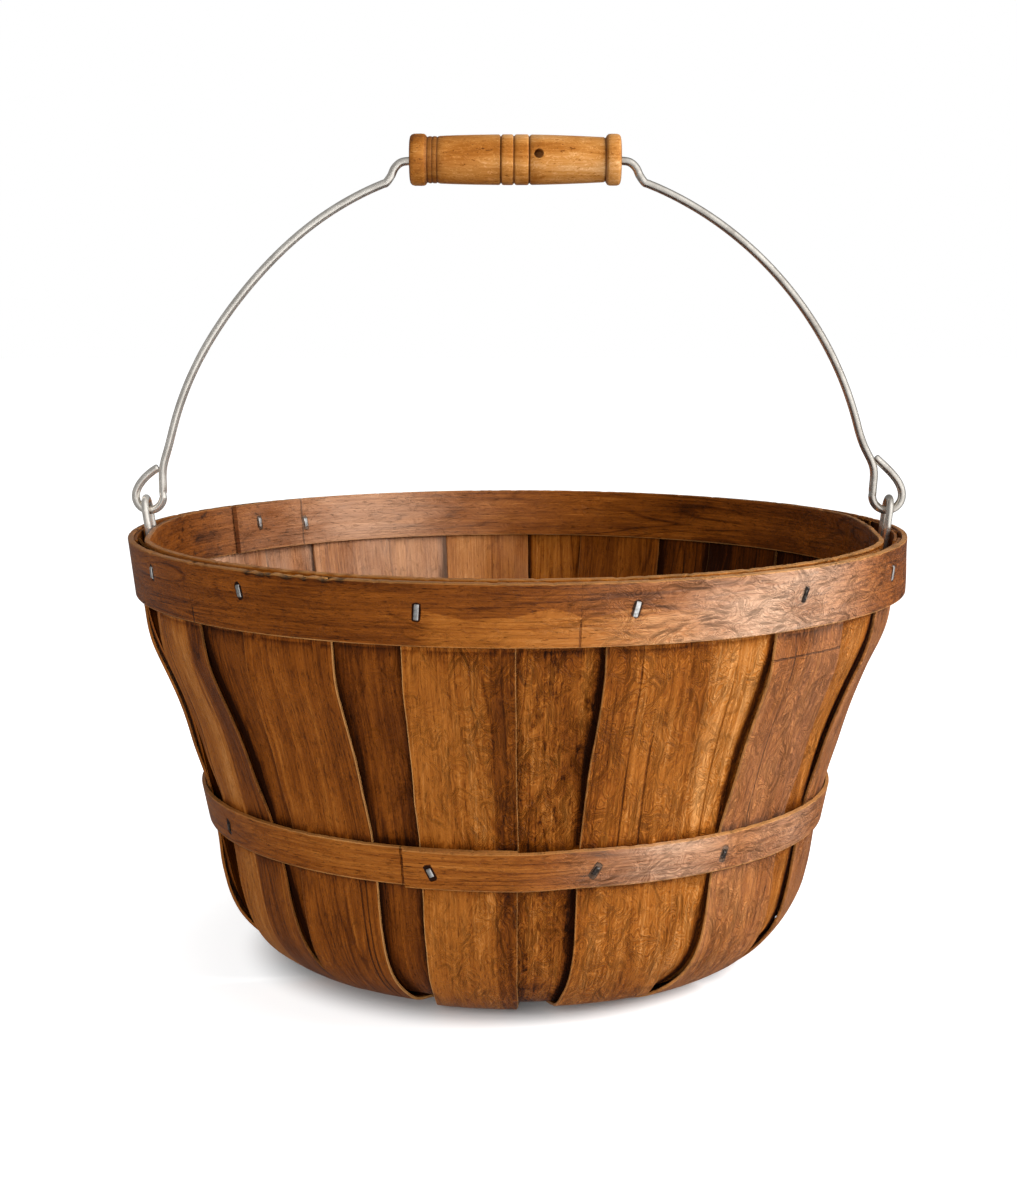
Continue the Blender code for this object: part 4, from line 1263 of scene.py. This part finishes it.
def turn_points(centre, radius, start, end, count):
    """Points of an arc, as pairs."""
    return [(centre[0] + radius * math.cos(turn), centre[1] + radius * math.sin(turn))
            for turn in np.linspace(start, end, count)]


def bezier(handles, share):
    """A point on a curve with two ends and two handles."""
    weights = ((1 - share) ** 3, 3 * share * (1 - share) ** 2, 3 * share ** 2 * (1 - share), share ** 3)
    return tuple(sum(weight * handle[axis] for weight, handle in zip(weights, handles)) for axis in (0, 1))


def through_knots(knots, steps=8):
    """Points of a smooth line from the second knot to the last but one."""
    points = []
    for before, start, end, after in zip(knots, knots[1:], knots[2:], knots[3:]):
        for share in np.arange(steps) / steps:
            pair = []
            for a, b, c, d in zip(before, start, end, after):
                cubed = 2 * (b - c) + (c - a) / 2 + (d - b) / 2
                squared = 3 * (c - b) - (c - a) - (d - b) / 2
                pair.append(b + share * ((c - a) / 2 + share * (squared + share * cubed)))
            points.append(tuple(pair))
    return points + [knots[-2]]


def bow_radius(degrees, half):
    """Radius of the bow at an angle: round, but flat on the shoulder and knocked outward above the eye."""
    radius = BOW_RADIUS - half["flat"] * math.exp(-((degrees - 40.0) / 17.0) ** 2)
    radius = radius + half["knee"] * math.exp(-((degrees - 8.0) / 2.8) ** 2)
    return radius + half["lean"] * float(1.0 - smooth_step(degrees, 5.0, 15.0))


def half_bow(half):
    """Tail, eye, bow and the step up to the grip, as width and height."""
    size = half["eye"]
    eye_x, eye_height = EYE_X - EYE_RADIUS + half["lean"] + size, PIVOT_HEIGHT + size
    tail_height = PIVOT_HEIGHT + half["rise"]
    beside = bow_radius(math.degrees(math.asin((tail_height - BOW_CENTRE) / BOW_RADIUS)), half)
    tail_x = math.sqrt(beside ** 2 - (tail_height - BOW_CENTRE) ** 2) + half["tip"]
    above_eye = (eye_x + size + 0.0002, eye_height + 0.42 * (tail_height - eye_height))
    bends = ((tail_x, tail_height), (tail_x + half["bend"][0], tail_height + half["bend"][1]), above_eye,
             (eye_x + size, eye_height))
    points = [bezier(bends, share) for share in np.linspace(0.0, 1.0, 24)[:-1]]
    points += turn_points((eye_x, eye_height), size, 0.0, -math.pi, 30)
    run = GRIP_LENGTH / 2.0 + JOG_RUN
    low, high = math.asin((eye_height - BOW_CENTRE) / BOW_RADIUS), math.acos(run / BOW_RADIUS)
    bow = []
    for turn in np.linspace(low, high, 80):
        radius = bow_radius(math.degrees(turn), half)
        bow.append((radius * math.cos(turn), BOW_CENTRE + radius * math.sin(turn)))
    foot = (bow[-1][1] + bow[-2][1]) / 2.0
    jog = [(run - JOG_RUN * across, foot + JOG_RISE * rise) for across, rise in JOG_SHARES]
    knots = bow[-4:-2] + jog + [(jog[-1][0] - INTO_GRIP, jog[-1][1])]
    return points + bow[:-3] + through_knots(knots)


print("points in half a bail:", len(half_bow(RIGHT_HALF)))


# %% Bend the bail
def bend_wire(name, points, diameter, finish):
    """A round wire along points, as a closed mesh with slightly rounded ends."""
    curve = bpy.data.curves.new(name, "CURVE")
    curve.dimensions = "3D"
    curve.bevel_depth, curve.bevel_resolution = diameter / 2.0, 6
    curve.use_fill_caps = True
    spline = curve.splines.new("POLY")
    spline.points.add(len(points) - 1)
    for target, point in zip(spline.points, points):
        target.co = (*point, 1.0)
    spline.points[0].radius = spline.points[-1].radius = 0.82
    helper = bpy.data.objects.new(name, curve)
    bpy.context.scene.collection.objects.link(helper)
    mesh = plain_mesh(helper)
    bpy.data.objects.remove(helper)
    tidy_normals(mesh, 50.0)
    return new_piece(name, mesh, finish)


right_bow = [(width, 0.0, height) for width, height in half_bow(RIGHT_HALF)]
left_bow = [(-width, 0.0, height) for width, height in reversed(half_bow(LEFT_HALF))]
bail = bend_wire("bail_bow", right_bow + left_bow[1:], WIRE, zinc)
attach(bail, "bail")
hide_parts("bail_wire")
print("bail:", len(right_bow) + len(left_bow) - 1, "points")


# %% Bend the ears
EAR_HALF, EAR_BEND, EAR_FOOT = 0.0065, 0.003, (0.0075, 0.0072)


def ear_path(side):
    """Foot, leg, loop, leg and foot of an ear, which leans out a little above the rim."""
    lean = LEFT_HALF["lean"] if side < 0 else 0.0
    foot = RIM_HEIGHT - INNER_HOOP_WIDTH - 0.0028
    bend = foot + EAR_BEND
    knee = ear_reach(bend)
    leg = [(knee - start, foot) for start in EAR_FOOT]
    leg += turn_points((knee - EAR_BEND, bend), EAR_BEND, -math.pi / 2.0, 0.0, 10)
    leg += [(ear_reach(height), height) for height in np.linspace(bend + 0.002, RIM_HEIGHT, 8)]
    path = [(reach, EAR_HALF, height) for reach, height in leg]
    for along, height in turn_points((0.0, PIVOT_HEIGHT + 0.0062 - EAR_HALF), EAR_HALF, 0.0, math.pi, 30):
        out = lean * float(smooth_step(height, RIM_HEIGHT - 0.002, PIVOT_HEIGHT))
        path.append((ear_reach(height) + out, along, height))
    path += [(reach, -EAR_HALF, height) for reach, height in reversed(leg)]
    return [(side * reach, along, height) for reach, along, height in path]


for side, name in ((-1, "ear_left"), (1, "ear_right")):
    ear = bend_wire(f"{name}_loop", ear_path(side), EAR_WIRE, zinc)
    push_piece(ear, wall_push)
    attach(ear, "basket")
    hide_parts(name)
    print(name, len(ear.data.polygons), "faces")


# %% [markdown]
# ## The turned grip
# The grip was turned on a lathe: flanges at the ends, a ringed neck, and grooves at the middle. Turning is a
# profile swept round an axis, so the profile is written down as places along the grip and radii, and its
# points are turned round in code. The small hole on its side is a real hole, cut with an exact Boolean.

# %% Finish of the grip
# Colour of the dark grooves, and of the painted shade in the bore and the hole
GROOVE_DARK_COLOUR, GROOVE_SHARE = (0.060, 0.016, 0.004), 0.92


def grip_finish():
    """Oiled turned wood: fibres along the grip, end rings, dark grooves, painted light and shade."""
    material, tree, shader = new_finish("turned_wood", specular=0.20)
    _, less, times, _ = sums(tree)
    place = add(tree, "ShaderNodeTexCoord").outputs["Object"]
    _, (painted_light_side, groove, _) = stored(tree, "turning")
    along_grip = lambda along, across: stretched(tree, place, along, across, across)
    grain = lambda along, across, *looks: grain_noise(tree, along_grip(along, across), *looks)
    fibres = grain(60.0, 1100.0, 4.0, 0.6)
    flecks = fade(tree, grain(420.0, 1100.0, 3.0), 0.60, 0.70)
    broad = grain(22.0, 95.0, 3.0, 0.55, 0.6)
    curls = grain(210.0, 420.0, 2.0, 0.5, 1.4)
    curl_lines = fade(tree, calc(tree, "PINGPONG", times(curls, 4.0), 0.5), 0.34, 0.5)
    # Painted light: lighter towards the grip's right, where the key light falls
    shade = total(tree, 0.50, times(less(fibres, 0.5), 0.48), times(less(broad, 0.5), 1.00),
                  times(painted_light_side, 0.22), times(curl_lines, 0.16), times(flecks, -0.30))
    colour = shade_ramp(tree, shade, ((0.08, (0.12, 0.030, 0.003)), (0.38, (0.37, 0.122, 0.015)),
                                      (0.62, (0.56, 0.240, 0.055)), (0.92, (0.78, 0.46, 0.21))))
    colour = blend(tree, times(groove, GROOVE_SHARE), colour, GROOVE_DARK_COLOUR)
    relief = total(tree, times(fibres, 0.5), times(flecks, -0.5), times(curl_lines, -0.3))
    end_finish(tree, shader, colour, total(tree, 0.40, times(fibres, 0.16)), relief, 0.6, 0.0002)
    return material


oiled_wood = grip_finish()
print("turned wood:", len(oiled_wood.node_tree.nodes), "nodes")

# %% Turn the grip
# Places along the grip and radii, in millimetres: the outside from left to right, then back along the bore
GRIP_PROFILE = (
    (-52.0, 9.9), (-51.7, 11.3), (-50.9, 12.2), (-49.6, 12.6), (-46.2, 12.65), (-44.8, 12.5), (-44.0, 12.0),
    (-43.6, 11.3), (-43.2, 11.0), (-42.7, 11.2), (-42.1, 11.4), (-41.3, 11.35), (-40.9, 11.0), (-40.5, 11.3),
    (-39.6, 11.4), (-38.8, 11.3), (-38.4, 10.9), (-37.9, 11.25), (-37.0, 11.5), (-34.0, 11.65),
    (-28.0, 11.85), (-20.0, 12.05), (-12.0, 12.15), (-8.4, 12.2), (-7.8, 12.1), (-7.4, 11.6), (-7.1, 11.2),
    (-6.8, 11.6),
    (-6.4, 12.1), (-5.9, 12.25), (-1.8, 12.25), (-1.3, 12.1), (-0.9, 11.6), (-0.65, 11.3), (-0.35, 11.6),
    (0.1, 12.1), (0.5, 12.25), (5.7, 12.25), (6.2, 12.1), (6.6, 11.6), (6.9, 11.2), (7.2, 11.6), (7.6, 12.0),
    (8.2, 12.15), (14.0, 12.05), (24.0, 11.75), (34.0, 11.35), (42.4, 10.95), (43.5, 10.9), (43.9, 10.6),
    (44.3, 10.5), (44.7, 11.2), (45.2, 12.0), (45.9, 12.4), (47.0, 12.55), (50.0, 12.5), (51.1, 12.1),
    (51.7, 11.3), (52.0, 9.9), (52.0, 5.0), (52.0, 2.4), (40.0, 2.4), (0.0, 2.4), (-40.0, 2.4), (-52.0, 2.4),
    (-52.0, 5.0),
)
GRIP_TURNS = 96
GRIP_AXIS = BOW_CENTRE + math.sqrt(BOW_RADIUS ** 2 - (GRIP_LENGTH / 2.0 + JOG_RUN) ** 2) + JOG_RISE


def turn_grip():
    """Turn the profile round the X axis through the bail."""
    profile = np.array(GRIP_PROFILE) / 1000.0
    turns = np.linspace(0.0, 2.0 * math.pi, GRIP_TURNS, endpoint=False)
    verts = [(place, radius * math.cos(turn), GRIP_AXIS + radius * math.sin(turn))
             for place, radius in profile for turn in turns]
    faces = []
    for row in range(len(profile)):
        here, after = row * GRIP_TURNS, (row + 1) % len(profile) * GRIP_TURNS
        for column in range(GRIP_TURNS):
            beside = (column + 1) % GRIP_TURNS
            faces.append((here + column, here + beside, after + beside, after + column))
    mesh = bpy.data.meshes.new("grip")
    mesh.from_pydata(verts, [], faces)
    tidy_normals(mesh)
    return mesh


grip = new_piece("grip_turned", turn_grip(), oiled_wood)
grip_low, grip_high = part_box("grip")
print("grip axis", round(GRIP_AXIS, 5), "frame", round((grip_low.z + grip_high.z) / 2.0, 5))

# %% [markdown]
# ## The hole and the grooves
# The small hole is where a pin or a worm once went in. A cylinder cuts it out of the turned mesh, because a
# painted spot would look flat from the side. The grooves are dark, and the bore and the hole are dark as
# painted shade, so each vertex stores how dark it is there.

# %% Drill the small hole
HOLE_RADIUS, HOLE_PLACE, HOLE_TILT = 0.0024, 0.0115, math.radians(12.0)
DRILL_LENGTH, DRILL_MIDDLE = 0.012, 0.0125


def drill_grip(piece):
    """Cut the small hole in the grip's side, which faces the front and a little up."""
    drill = bmesh.new()
    bmesh.ops.create_cone(drill, cap_ends=True, segments=36, radius1=HOLE_RADIUS, radius2=HOLE_RADIUS,
                          depth=DRILL_LENGTH)
    for vert in drill.verts:
        x, y, z = vert.co
        y, z = -(z + DRILL_MIDDLE), y
        vert.co = (HOLE_PLACE + x, y * math.cos(HOLE_TILT) + z * math.sin(HOLE_TILT),
                   GRIP_AXIS - y * math.sin(HOLE_TILT) + z * math.cos(HOLE_TILT))
    mesh = bpy.data.meshes.new("drill")
    bmesh.ops.recalc_face_normals(drill, faces=drill.faces)
    drill.to_mesh(mesh)
    drill.free()
    cutter = bpy.data.objects.new("drill", mesh)
    bpy.context.scene.collection.objects.link(cutter)
    cut = piece.modifiers.new("hole", "BOOLEAN")
    cut.operation, cut.solver, cut.object = "DIFFERENCE", "EXACT", cutter
    result = plain_mesh(piece)
    piece.modifiers.clear()
    piece.data = result
    bpy.data.objects.remove(cutter)
    tidy_normals(result)


drill_grip(grip)
print("grip:", len(grip.data.polygons), "faces")

# %% Dark grooves of the grip
# Place and spread in millimetres, and how dark. Below the deep radius all is dark, as painted shade: the
# bore and the hole.
GROOVES = ((-43.2, 0.5, 1.0), (-40.9, 0.35, 0.7), (-38.4, 0.5, 0.9), (-7.1, 0.45, 1.0), (-0.65, 0.35, 0.9),
           (6.9, 0.45, 1.0), (44.3, 0.55, 1.0), (-41.0, 3.2, 0.50), (-51.9, 0.6, 0.50), (51.9, 0.6, 0.50),
           (-44.2, 0.45, 0.60), (-36.6, 0.5, 0.35), (45.1, 0.4, 0.55), (-8.1, 0.3, 0.5), (7.9, 0.3, 0.5))
DEEP_RADIUS, DEEP_SHARE = 0.0105, 0.75

co = vectors_of(grip.data.vertices, "co").astype(float)
from_axis = np.hypot(co[:, 1], co[:, 2] - GRIP_AXIS)
dark = np.zeros(len(co))
for place, spread, depth in GROOVES:
    dark = np.maximum(dark, depth * np.exp(-((co[:, 0] * 1000.0 - place) / spread) ** 2))
dark = np.where(from_axis < DEEP_RADIUS, np.maximum(dark, DEEP_SHARE), dark)
# First value: painted light rising to the right. Second: dark grooves and painted shade in the bore
set_vector(grip.data, "turning", smooth_step(co[:, 0], -0.05, 0.04) - 0.5, dark)
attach(grip, "grip_roller")
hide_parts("grip")
print("grooves:", len(GROOVES))


# %% [markdown]
# ## Staples
# One staple clamps the rim hoops at each outer splint, one holds the waist hoop at nearly each of them, and
# two close the lap inside the rim. They are all one shape that repeats at points on the hoops, which is what
# instancing is for: the staple is built once in the tree, set on every point with its own lean, and the
# instances are then made real.

# %% The tree that sets the staples
def staple_tree(finish):
    """A flat wire staple on every point, standing as the point's stored directions say."""
    tree, given = new_tree("staples", {"Crown": 0.0066, "Wire Width": 0.0022, "Wire Thickness": 0.0008,
                                       "Leg": 0.0022, "Corner": 0.0007})
    plus, less, times, _ = sums(tree)
    minus_half = times(times(given["Crown"], 0.5), -1.0)
    minus_leg = times(given["Leg"], -1.0)
    line = first(tree, "GeometryNodeCurvePrimitiveLine", {"End": (0.0, 0.0, 1.0)})
    four = first(tree, "GeometryNodeResampleCurve", {"Curve": line, "Count": 4})

    # The four corners by their index: foot, crown, crown, foot
    index = first(tree, "GeometryNodeInputIndex")
    crown_z = times(given["Wire Thickness"], 0.3)
    far = calc(tree, "GREATER_THAN", index, 1.5)
    top = calc(tree, "LESS_THAN", calc(tree, "ABSOLUTE", less(index, 1.5)), 1.0)
    y = plus(minus_half, times(far, given["Crown"]))
    z = plus(minus_leg, times(top, plus(given["Leg"], crown_z)))
    corner = first(tree, "ShaderNodeCombineXYZ", {"Y": y, "Z": z})
    shaped = first(tree, "GeometryNodeSetPosition", {"Geometry": four, "Position": corner})
    bends = {"Curve": shaped, "Count": 5, "Radius": given["Corner"]}
    rounded = first(tree, "GeometryNodeFilletCurve", bends, mode="POLY")
    flat_wire = {"Width": given["Wire Width"], "Height": given["Wire Thickness"]}
    flat_wire = first(tree, "GeometryNodeCurvePrimitiveQuadrilateral", flat_wire)
    edges = {"Curve": flat_wire, "Count": 3, "Radius": 0.00028}
    eased = first(tree, "GeometryNodeFilletCurve", edges, mode="POLY")
    curves = {"Curve": rounded, "Profile Curve": eased, "Fill Caps": True}
    staple = first(tree, "GeometryNodeCurveToMesh", curves)

    outward, crown, size = (read(tree, label, "FLOAT_VECTOR") for label in ("outward", "crown", "size"))
    axes = {"Primary Axis": outward, "Secondary Axis": crown}
    stand = first(tree, "FunctionNodeAxesToRotation", axes, primary_axis="Z", secondary_axis="Y")
    points = first(tree, "GeometryNodeMeshToPoints", {"Mesh": given["Geometry"]})
    placed = {"Points": points, "Instance": staple, "Rotation": stand, "Scale": size}
    close_tree(tree, first(tree, "GeometryNodeInstanceOnPoints", placed), finish)
    return tree


def staple_finish(name, shades, metallic):
    """Bright or rusty staple wire."""
    material, tree, shader = new_finish(name, metallic=metallic)
    place = add(tree, "ShaderNodeTexCoord").outputs["Object"]
    mottle = grain_noise(tree, stretched(tree, place, 700.0, 700.0, 700.0), 4.0, 0.6)
    end_finish(tree, shader, shade_ramp(tree, mottle, shades), fade(tree, mottle, 0.35, 0.65, 0.50, 0.28))
    return material


BRIGHT_WIRE = ((0.30, (0.34, 0.32, 0.29)), (0.46, (0.70, 0.69, 0.67)), (0.66, (0.95, 0.945, 0.93)))
DULL_WIRE = ((0.35, (0.008, 0.006, 0.005)), (0.58, (0.045, 0.032, 0.025)), (0.72, (0.42, 0.38, 0.35)))
bright = staple_finish("staple_bright", BRIGHT_WIRE, 1.0)
dull = staple_finish("staple_dull", DULL_WIRE, 0.6)
print("staple finishes:", bright.name, dull.name)


# %% Points of the staples
STAPLE_DEPTH = {"rim": -HOOP_GAP - TOP_HOOP_THICKNESS, "waist": -HOOP_GAP - MIDDLE_HOOP_THICKNESS,
                "lap": WALL_DEPTH + HOOP_GAP + 2 * INNER_HOOP_THICKNESS + HOOP_GAP}
LAP_FADE = (0.050, 0.080)
WAIST_CROWN, LEFT_CROWN, LEFT_END = 0.62, 0.80, -20.0


def staple_place(kind, degrees, height, lean):
    """Place on the hoop's outer face, the way out of it, and the direction of the crown."""
    angle = math.radians(degrees)
    radius, slope = wall_radius(height)
    size = math.hypot(1.0, slope)
    normal = Vector((math.sin(angle) / size, -math.cos(angle) / size, -slope / size))
    depth = STAPLE_DEPTH[kind]
    if kind == "waist":
        past_lap = math.radians((degrees - MIDDLE_LAP) % 360.0) * radius
        depth -= float(1.0 - smooth_step(past_lap, *LAP_FADE)) * (MIDDLE_HOOP_THICKNESS + HOOP_GAP)
    place = Vector((radius * math.sin(angle), -radius * math.cos(angle), height)) - normal * depth
    if kind == "rim":
        place += float(rim_push(degrees, height)) * Vector((math.sin(angle), -math.cos(angle), 0.0))
    if kind == "lap":
        normal = -normal
    side = Vector((math.cos(angle), math.sin(angle), 0.0))
    up = normal.cross(side).normalized()
    if up.z < 0.0:
        up = -up
    turn = math.radians(lean)
    return place, normal, (up * math.cos(turn) + side * math.sin(turn)).normalized()


def staple_points(name, staples):
    """A mesh of points on the hoops, each with its directions and its size."""
    places, outward, crown = zip(*(staple_place(kind, degrees, height / 1000.0, lean)
                                   for kind, degrees, height, lean in staples))
    mesh = bpy.data.meshes.new(name)
    mesh.from_pydata(places, [], [])
    set_vector(mesh, "outward", *np.array(outward).T)
    set_vector(mesh, "crown", *np.array(crown).T)
    short = [WAIST_CROWN if kind == "waist" else LEFT_CROWN if degrees < LEFT_END else 1.0
             for kind, degrees, *_ in staples]
    set_vector(mesh, "size", 1.0, short, 1.0)
    return mesh


# %% Set the staples
HIDDEN_FROM, HIDDEN_SHIFT, HIDDEN_LEAN = 75.0, 4.5, 8.0
hidden_chance = np.random.default_rng(7)
outer_centres = [splint_angle(True, index) for index in range(7)]
hidden = []
for centre in outer_centres + [angle + 180.0 for angle in outer_centres]:
    degrees = turned_from(centre - HIDDEN_SHIFT, 0.0)
    if abs(degrees) > HIDDEN_FROM:
        for kind, height in (("rim", 205), ("waist", 83)):
            hidden.append((kind, degrees, height, float(hidden_chance.uniform(-HIDDEN_LEAN, HIDDEN_LEAN))))

for name, staples, finish in (("staples_bright", BRIGHT_STAPLES + tuple(hidden), bright),
                              ("staples_dull", DULL_STAPLES, dull)):
    piece = grow(name, staple_tree(finish), {}, staple_points(name, staples))
    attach(piece, "basket")
    print(name, len(staples), "staples,", len(piece.data.polygons), "faces")


# %% [markdown]
# ## Floor and world
# The floor and the world are plain and pale. The floor adds a little of its own light for the camera only, so
# that it reads white, and less of it round the basket's foot, a little to the left, which paints the soft
# contact shadow there. The world is white to the camera, but it lights the basket weakly, and in the wire
# it is mirrored most from the front and the right.

# %% Floor
# The floor's glow for the camera is least round the basket's foot, a little to the left: a painted contact
# shadow. It grows to full white far away.
CONTACT_GLOW, NEAR_GLOW, FLOOR_GLOW = 0.06, 0.70, 0.88
PAINTED_SHADOW_CENTRE = (-0.006, 0.006, 0.0)
CONTACT_EDGE, NEAR_EDGE, FAR_EDGE = (0.108, 0.140), (0.14, 0.22), (0.22, 0.60)
FLOOR_HALF, FLOOR_DROP = 8, -0.0002
WHITE = (1.0, 1.0, 1.0, 1.0)


def floor_finish():
    """A pale floor that reads white to the camera, with the lamps' shadow and a painted contact shadow."""
    material, tree, shader = new_finish("pale_floor", specular=0.1)
    shader.inputs["Base Color"].default_value = (0.80, 0.80, 0.80, 1.0)
    shader.inputs["Roughness"].default_value = 0.9
    seen = add(tree, "ShaderNodeLightPath").outputs["Is Camera Ray"]
    place = add(tree, "ShaderNodeTexCoord").outputs["Object"]
    centre = {0: place, 1: PAINTED_SHADOW_CENTRE}
    distance = add(tree, "ShaderNodeVectorMath", centre, operation="DISTANCE").outputs["Value"]
    # Painted shadow: the glow falls off towards the basket's foot
    glow = total(tree, fade(tree, distance, *CONTACT_EDGE, CONTACT_GLOW, NEAR_GLOW),
                 fade(tree, distance, *NEAR_EDGE, 0.0, FLOOR_GLOW - NEAR_GLOW),
                 fade(tree, distance, *FAR_EDGE, 0.0, 1.0 - FLOOR_GLOW))
    tree.links.new(calc(tree, "MULTIPLY", seen, glow), shader.inputs["Emission Strength"])
    shader.inputs["Emission Color"].default_value = WHITE
    return material


floor_mesh = bpy.data.meshes.new("floor")
corners = [(x * FLOOR_HALF, y * FLOOR_HALF, FLOOR_DROP) for x, y in ((-1, -1), (1, -1), (1, 1), (-1, 1))]
floor_mesh.from_pydata(corners, [], [(0, 1, 2, 3)])
floor = new_piece("floor", floor_mesh, floor_finish())
floor.visible_glossy = False
print("floor:", 2 * FLOOR_HALF, "m wide")

# %% World
WORLD_LIGHT = 0.20
world = bpy.data.worlds.new("studio")
bpy.context.scene.world = world
world.use_nodes = True
air = world.node_tree
sky = air.nodes["Background"]
paths = add(air, "ShaderNodeLightPath").outputs
level = fade(air, paths["Is Camera Ray"], 0.0, 1.0, WORLD_LIGHT, 1.0)
aim = add(air, "ShaderNodeTexCoord").outputs["Generated"]
toward_right, toward_back, _ = add(air, "ShaderNodeSeparateXYZ", {0: aim}).outputs
from_front = fade(air, toward_back, -0.6, 0.6, 1.15, 0.02)
from_right = fade(air, toward_right, -0.8, 0.7, 0.14, 1.0)
mirrored = calc(air, "MULTIPLY", calc(air, "MULTIPLY", from_front, from_right), paths["Is Glossy Ray"])
air.links.new(calc(air, "MAXIMUM", level, mirrored), sky.inputs["Strength"])
sky.inputs["Color"].default_value = WHITE
print("world light:", WORLD_LIGHT)


# %% [markdown]
# ## Lights and camera
# The key light is a wide soft panel to the right, which rakes over the splints and shows their edges, with
# a weak panel in front. A second, weaker panel in the key's place gives only the gleam on the wire and the
# hoops. The camera stands where the photo's was: its distance, height and lens were worked out from the
# ellipses of the rim and the waist hoop.

# %% Lights
LIT_PLACE = Vector((0.0, 0.0, 0.15))


def panel(name, azimuth, elevation, distance, width, height, power):
    """A soft panel that faces the basket."""
    data = bpy.data.lights.new(name, "AREA")
    data.shape, data.size, data.size_y, data.energy = "RECTANGLE", width, height, power
    lamp = bpy.data.objects.new(name, data)
    bpy.context.scene.collection.objects.link(lamp)
    turn, rise = math.radians(azimuth), math.radians(elevation)
    way = Vector((math.sin(turn) * math.cos(rise), -math.cos(turn) * math.cos(rise), math.sin(rise)))
    lamp.location = LIT_PLACE + distance * way
    lamp.rotation_euler = (LIT_PLACE - lamp.location).to_track_quat("-Z", "Y").to_euler()
    return lamp


panel("key_panel", 76.0, 24.0, 1.5, 0.50, 0.95, 30.0).visible_glossy = False
panel("key_gleam", 76.0, 24.0, 1.5, 0.50, 0.95, 10.0).visible_diffuse = False
panel("front_panel", -14.0, 16.0, 2.2, 1.5, 1.0, 30.0).visible_glossy = False
print("panels:", len(bpy.data.lights))

# %% Camera
CAMERA_DISTANCE, CAMERA_RISE, AIM_HEIGHT = 1.050, math.radians(8.80), 0.180
# In the photo's pixels: its width, the focal length, and how far across the basket's axis is
PHOTO_WIDTH, FOCAL_PIXELS, AXIS_PIXEL = 1017.0, 2064.0, 515.4
SENSOR_WIDTH = 36.0
camera_data = bpy.data.cameras.new("camera")
camera_data.sensor_fit, camera_data.sensor_width = "HORIZONTAL", SENSOR_WIDTH
camera_data.lens = SENSOR_WIDTH * FOCAL_PIXELS / PHOTO_WIDTH
camera_data.shift_x = (PHOTO_WIDTH / 2.0 - AXIS_PIXEL) / PHOTO_WIDTH
camera = bpy.data.objects.new("camera", camera_data)
bpy.context.scene.collection.objects.link(camera)
rise = AIM_HEIGHT + CAMERA_DISTANCE * math.sin(CAMERA_RISE)
camera.location = (0.0, -CAMERA_DISTANCE * math.cos(CAMERA_RISE), rise)
camera.rotation_euler = (math.pi / 2.0 - CAMERA_RISE, 0.0, 0.0)
bpy.context.scene.camera = camera
bpy.context.scene.view_settings.view_transform = "Standard"
print("lens:", round(camera_data.lens, 1), "mm")
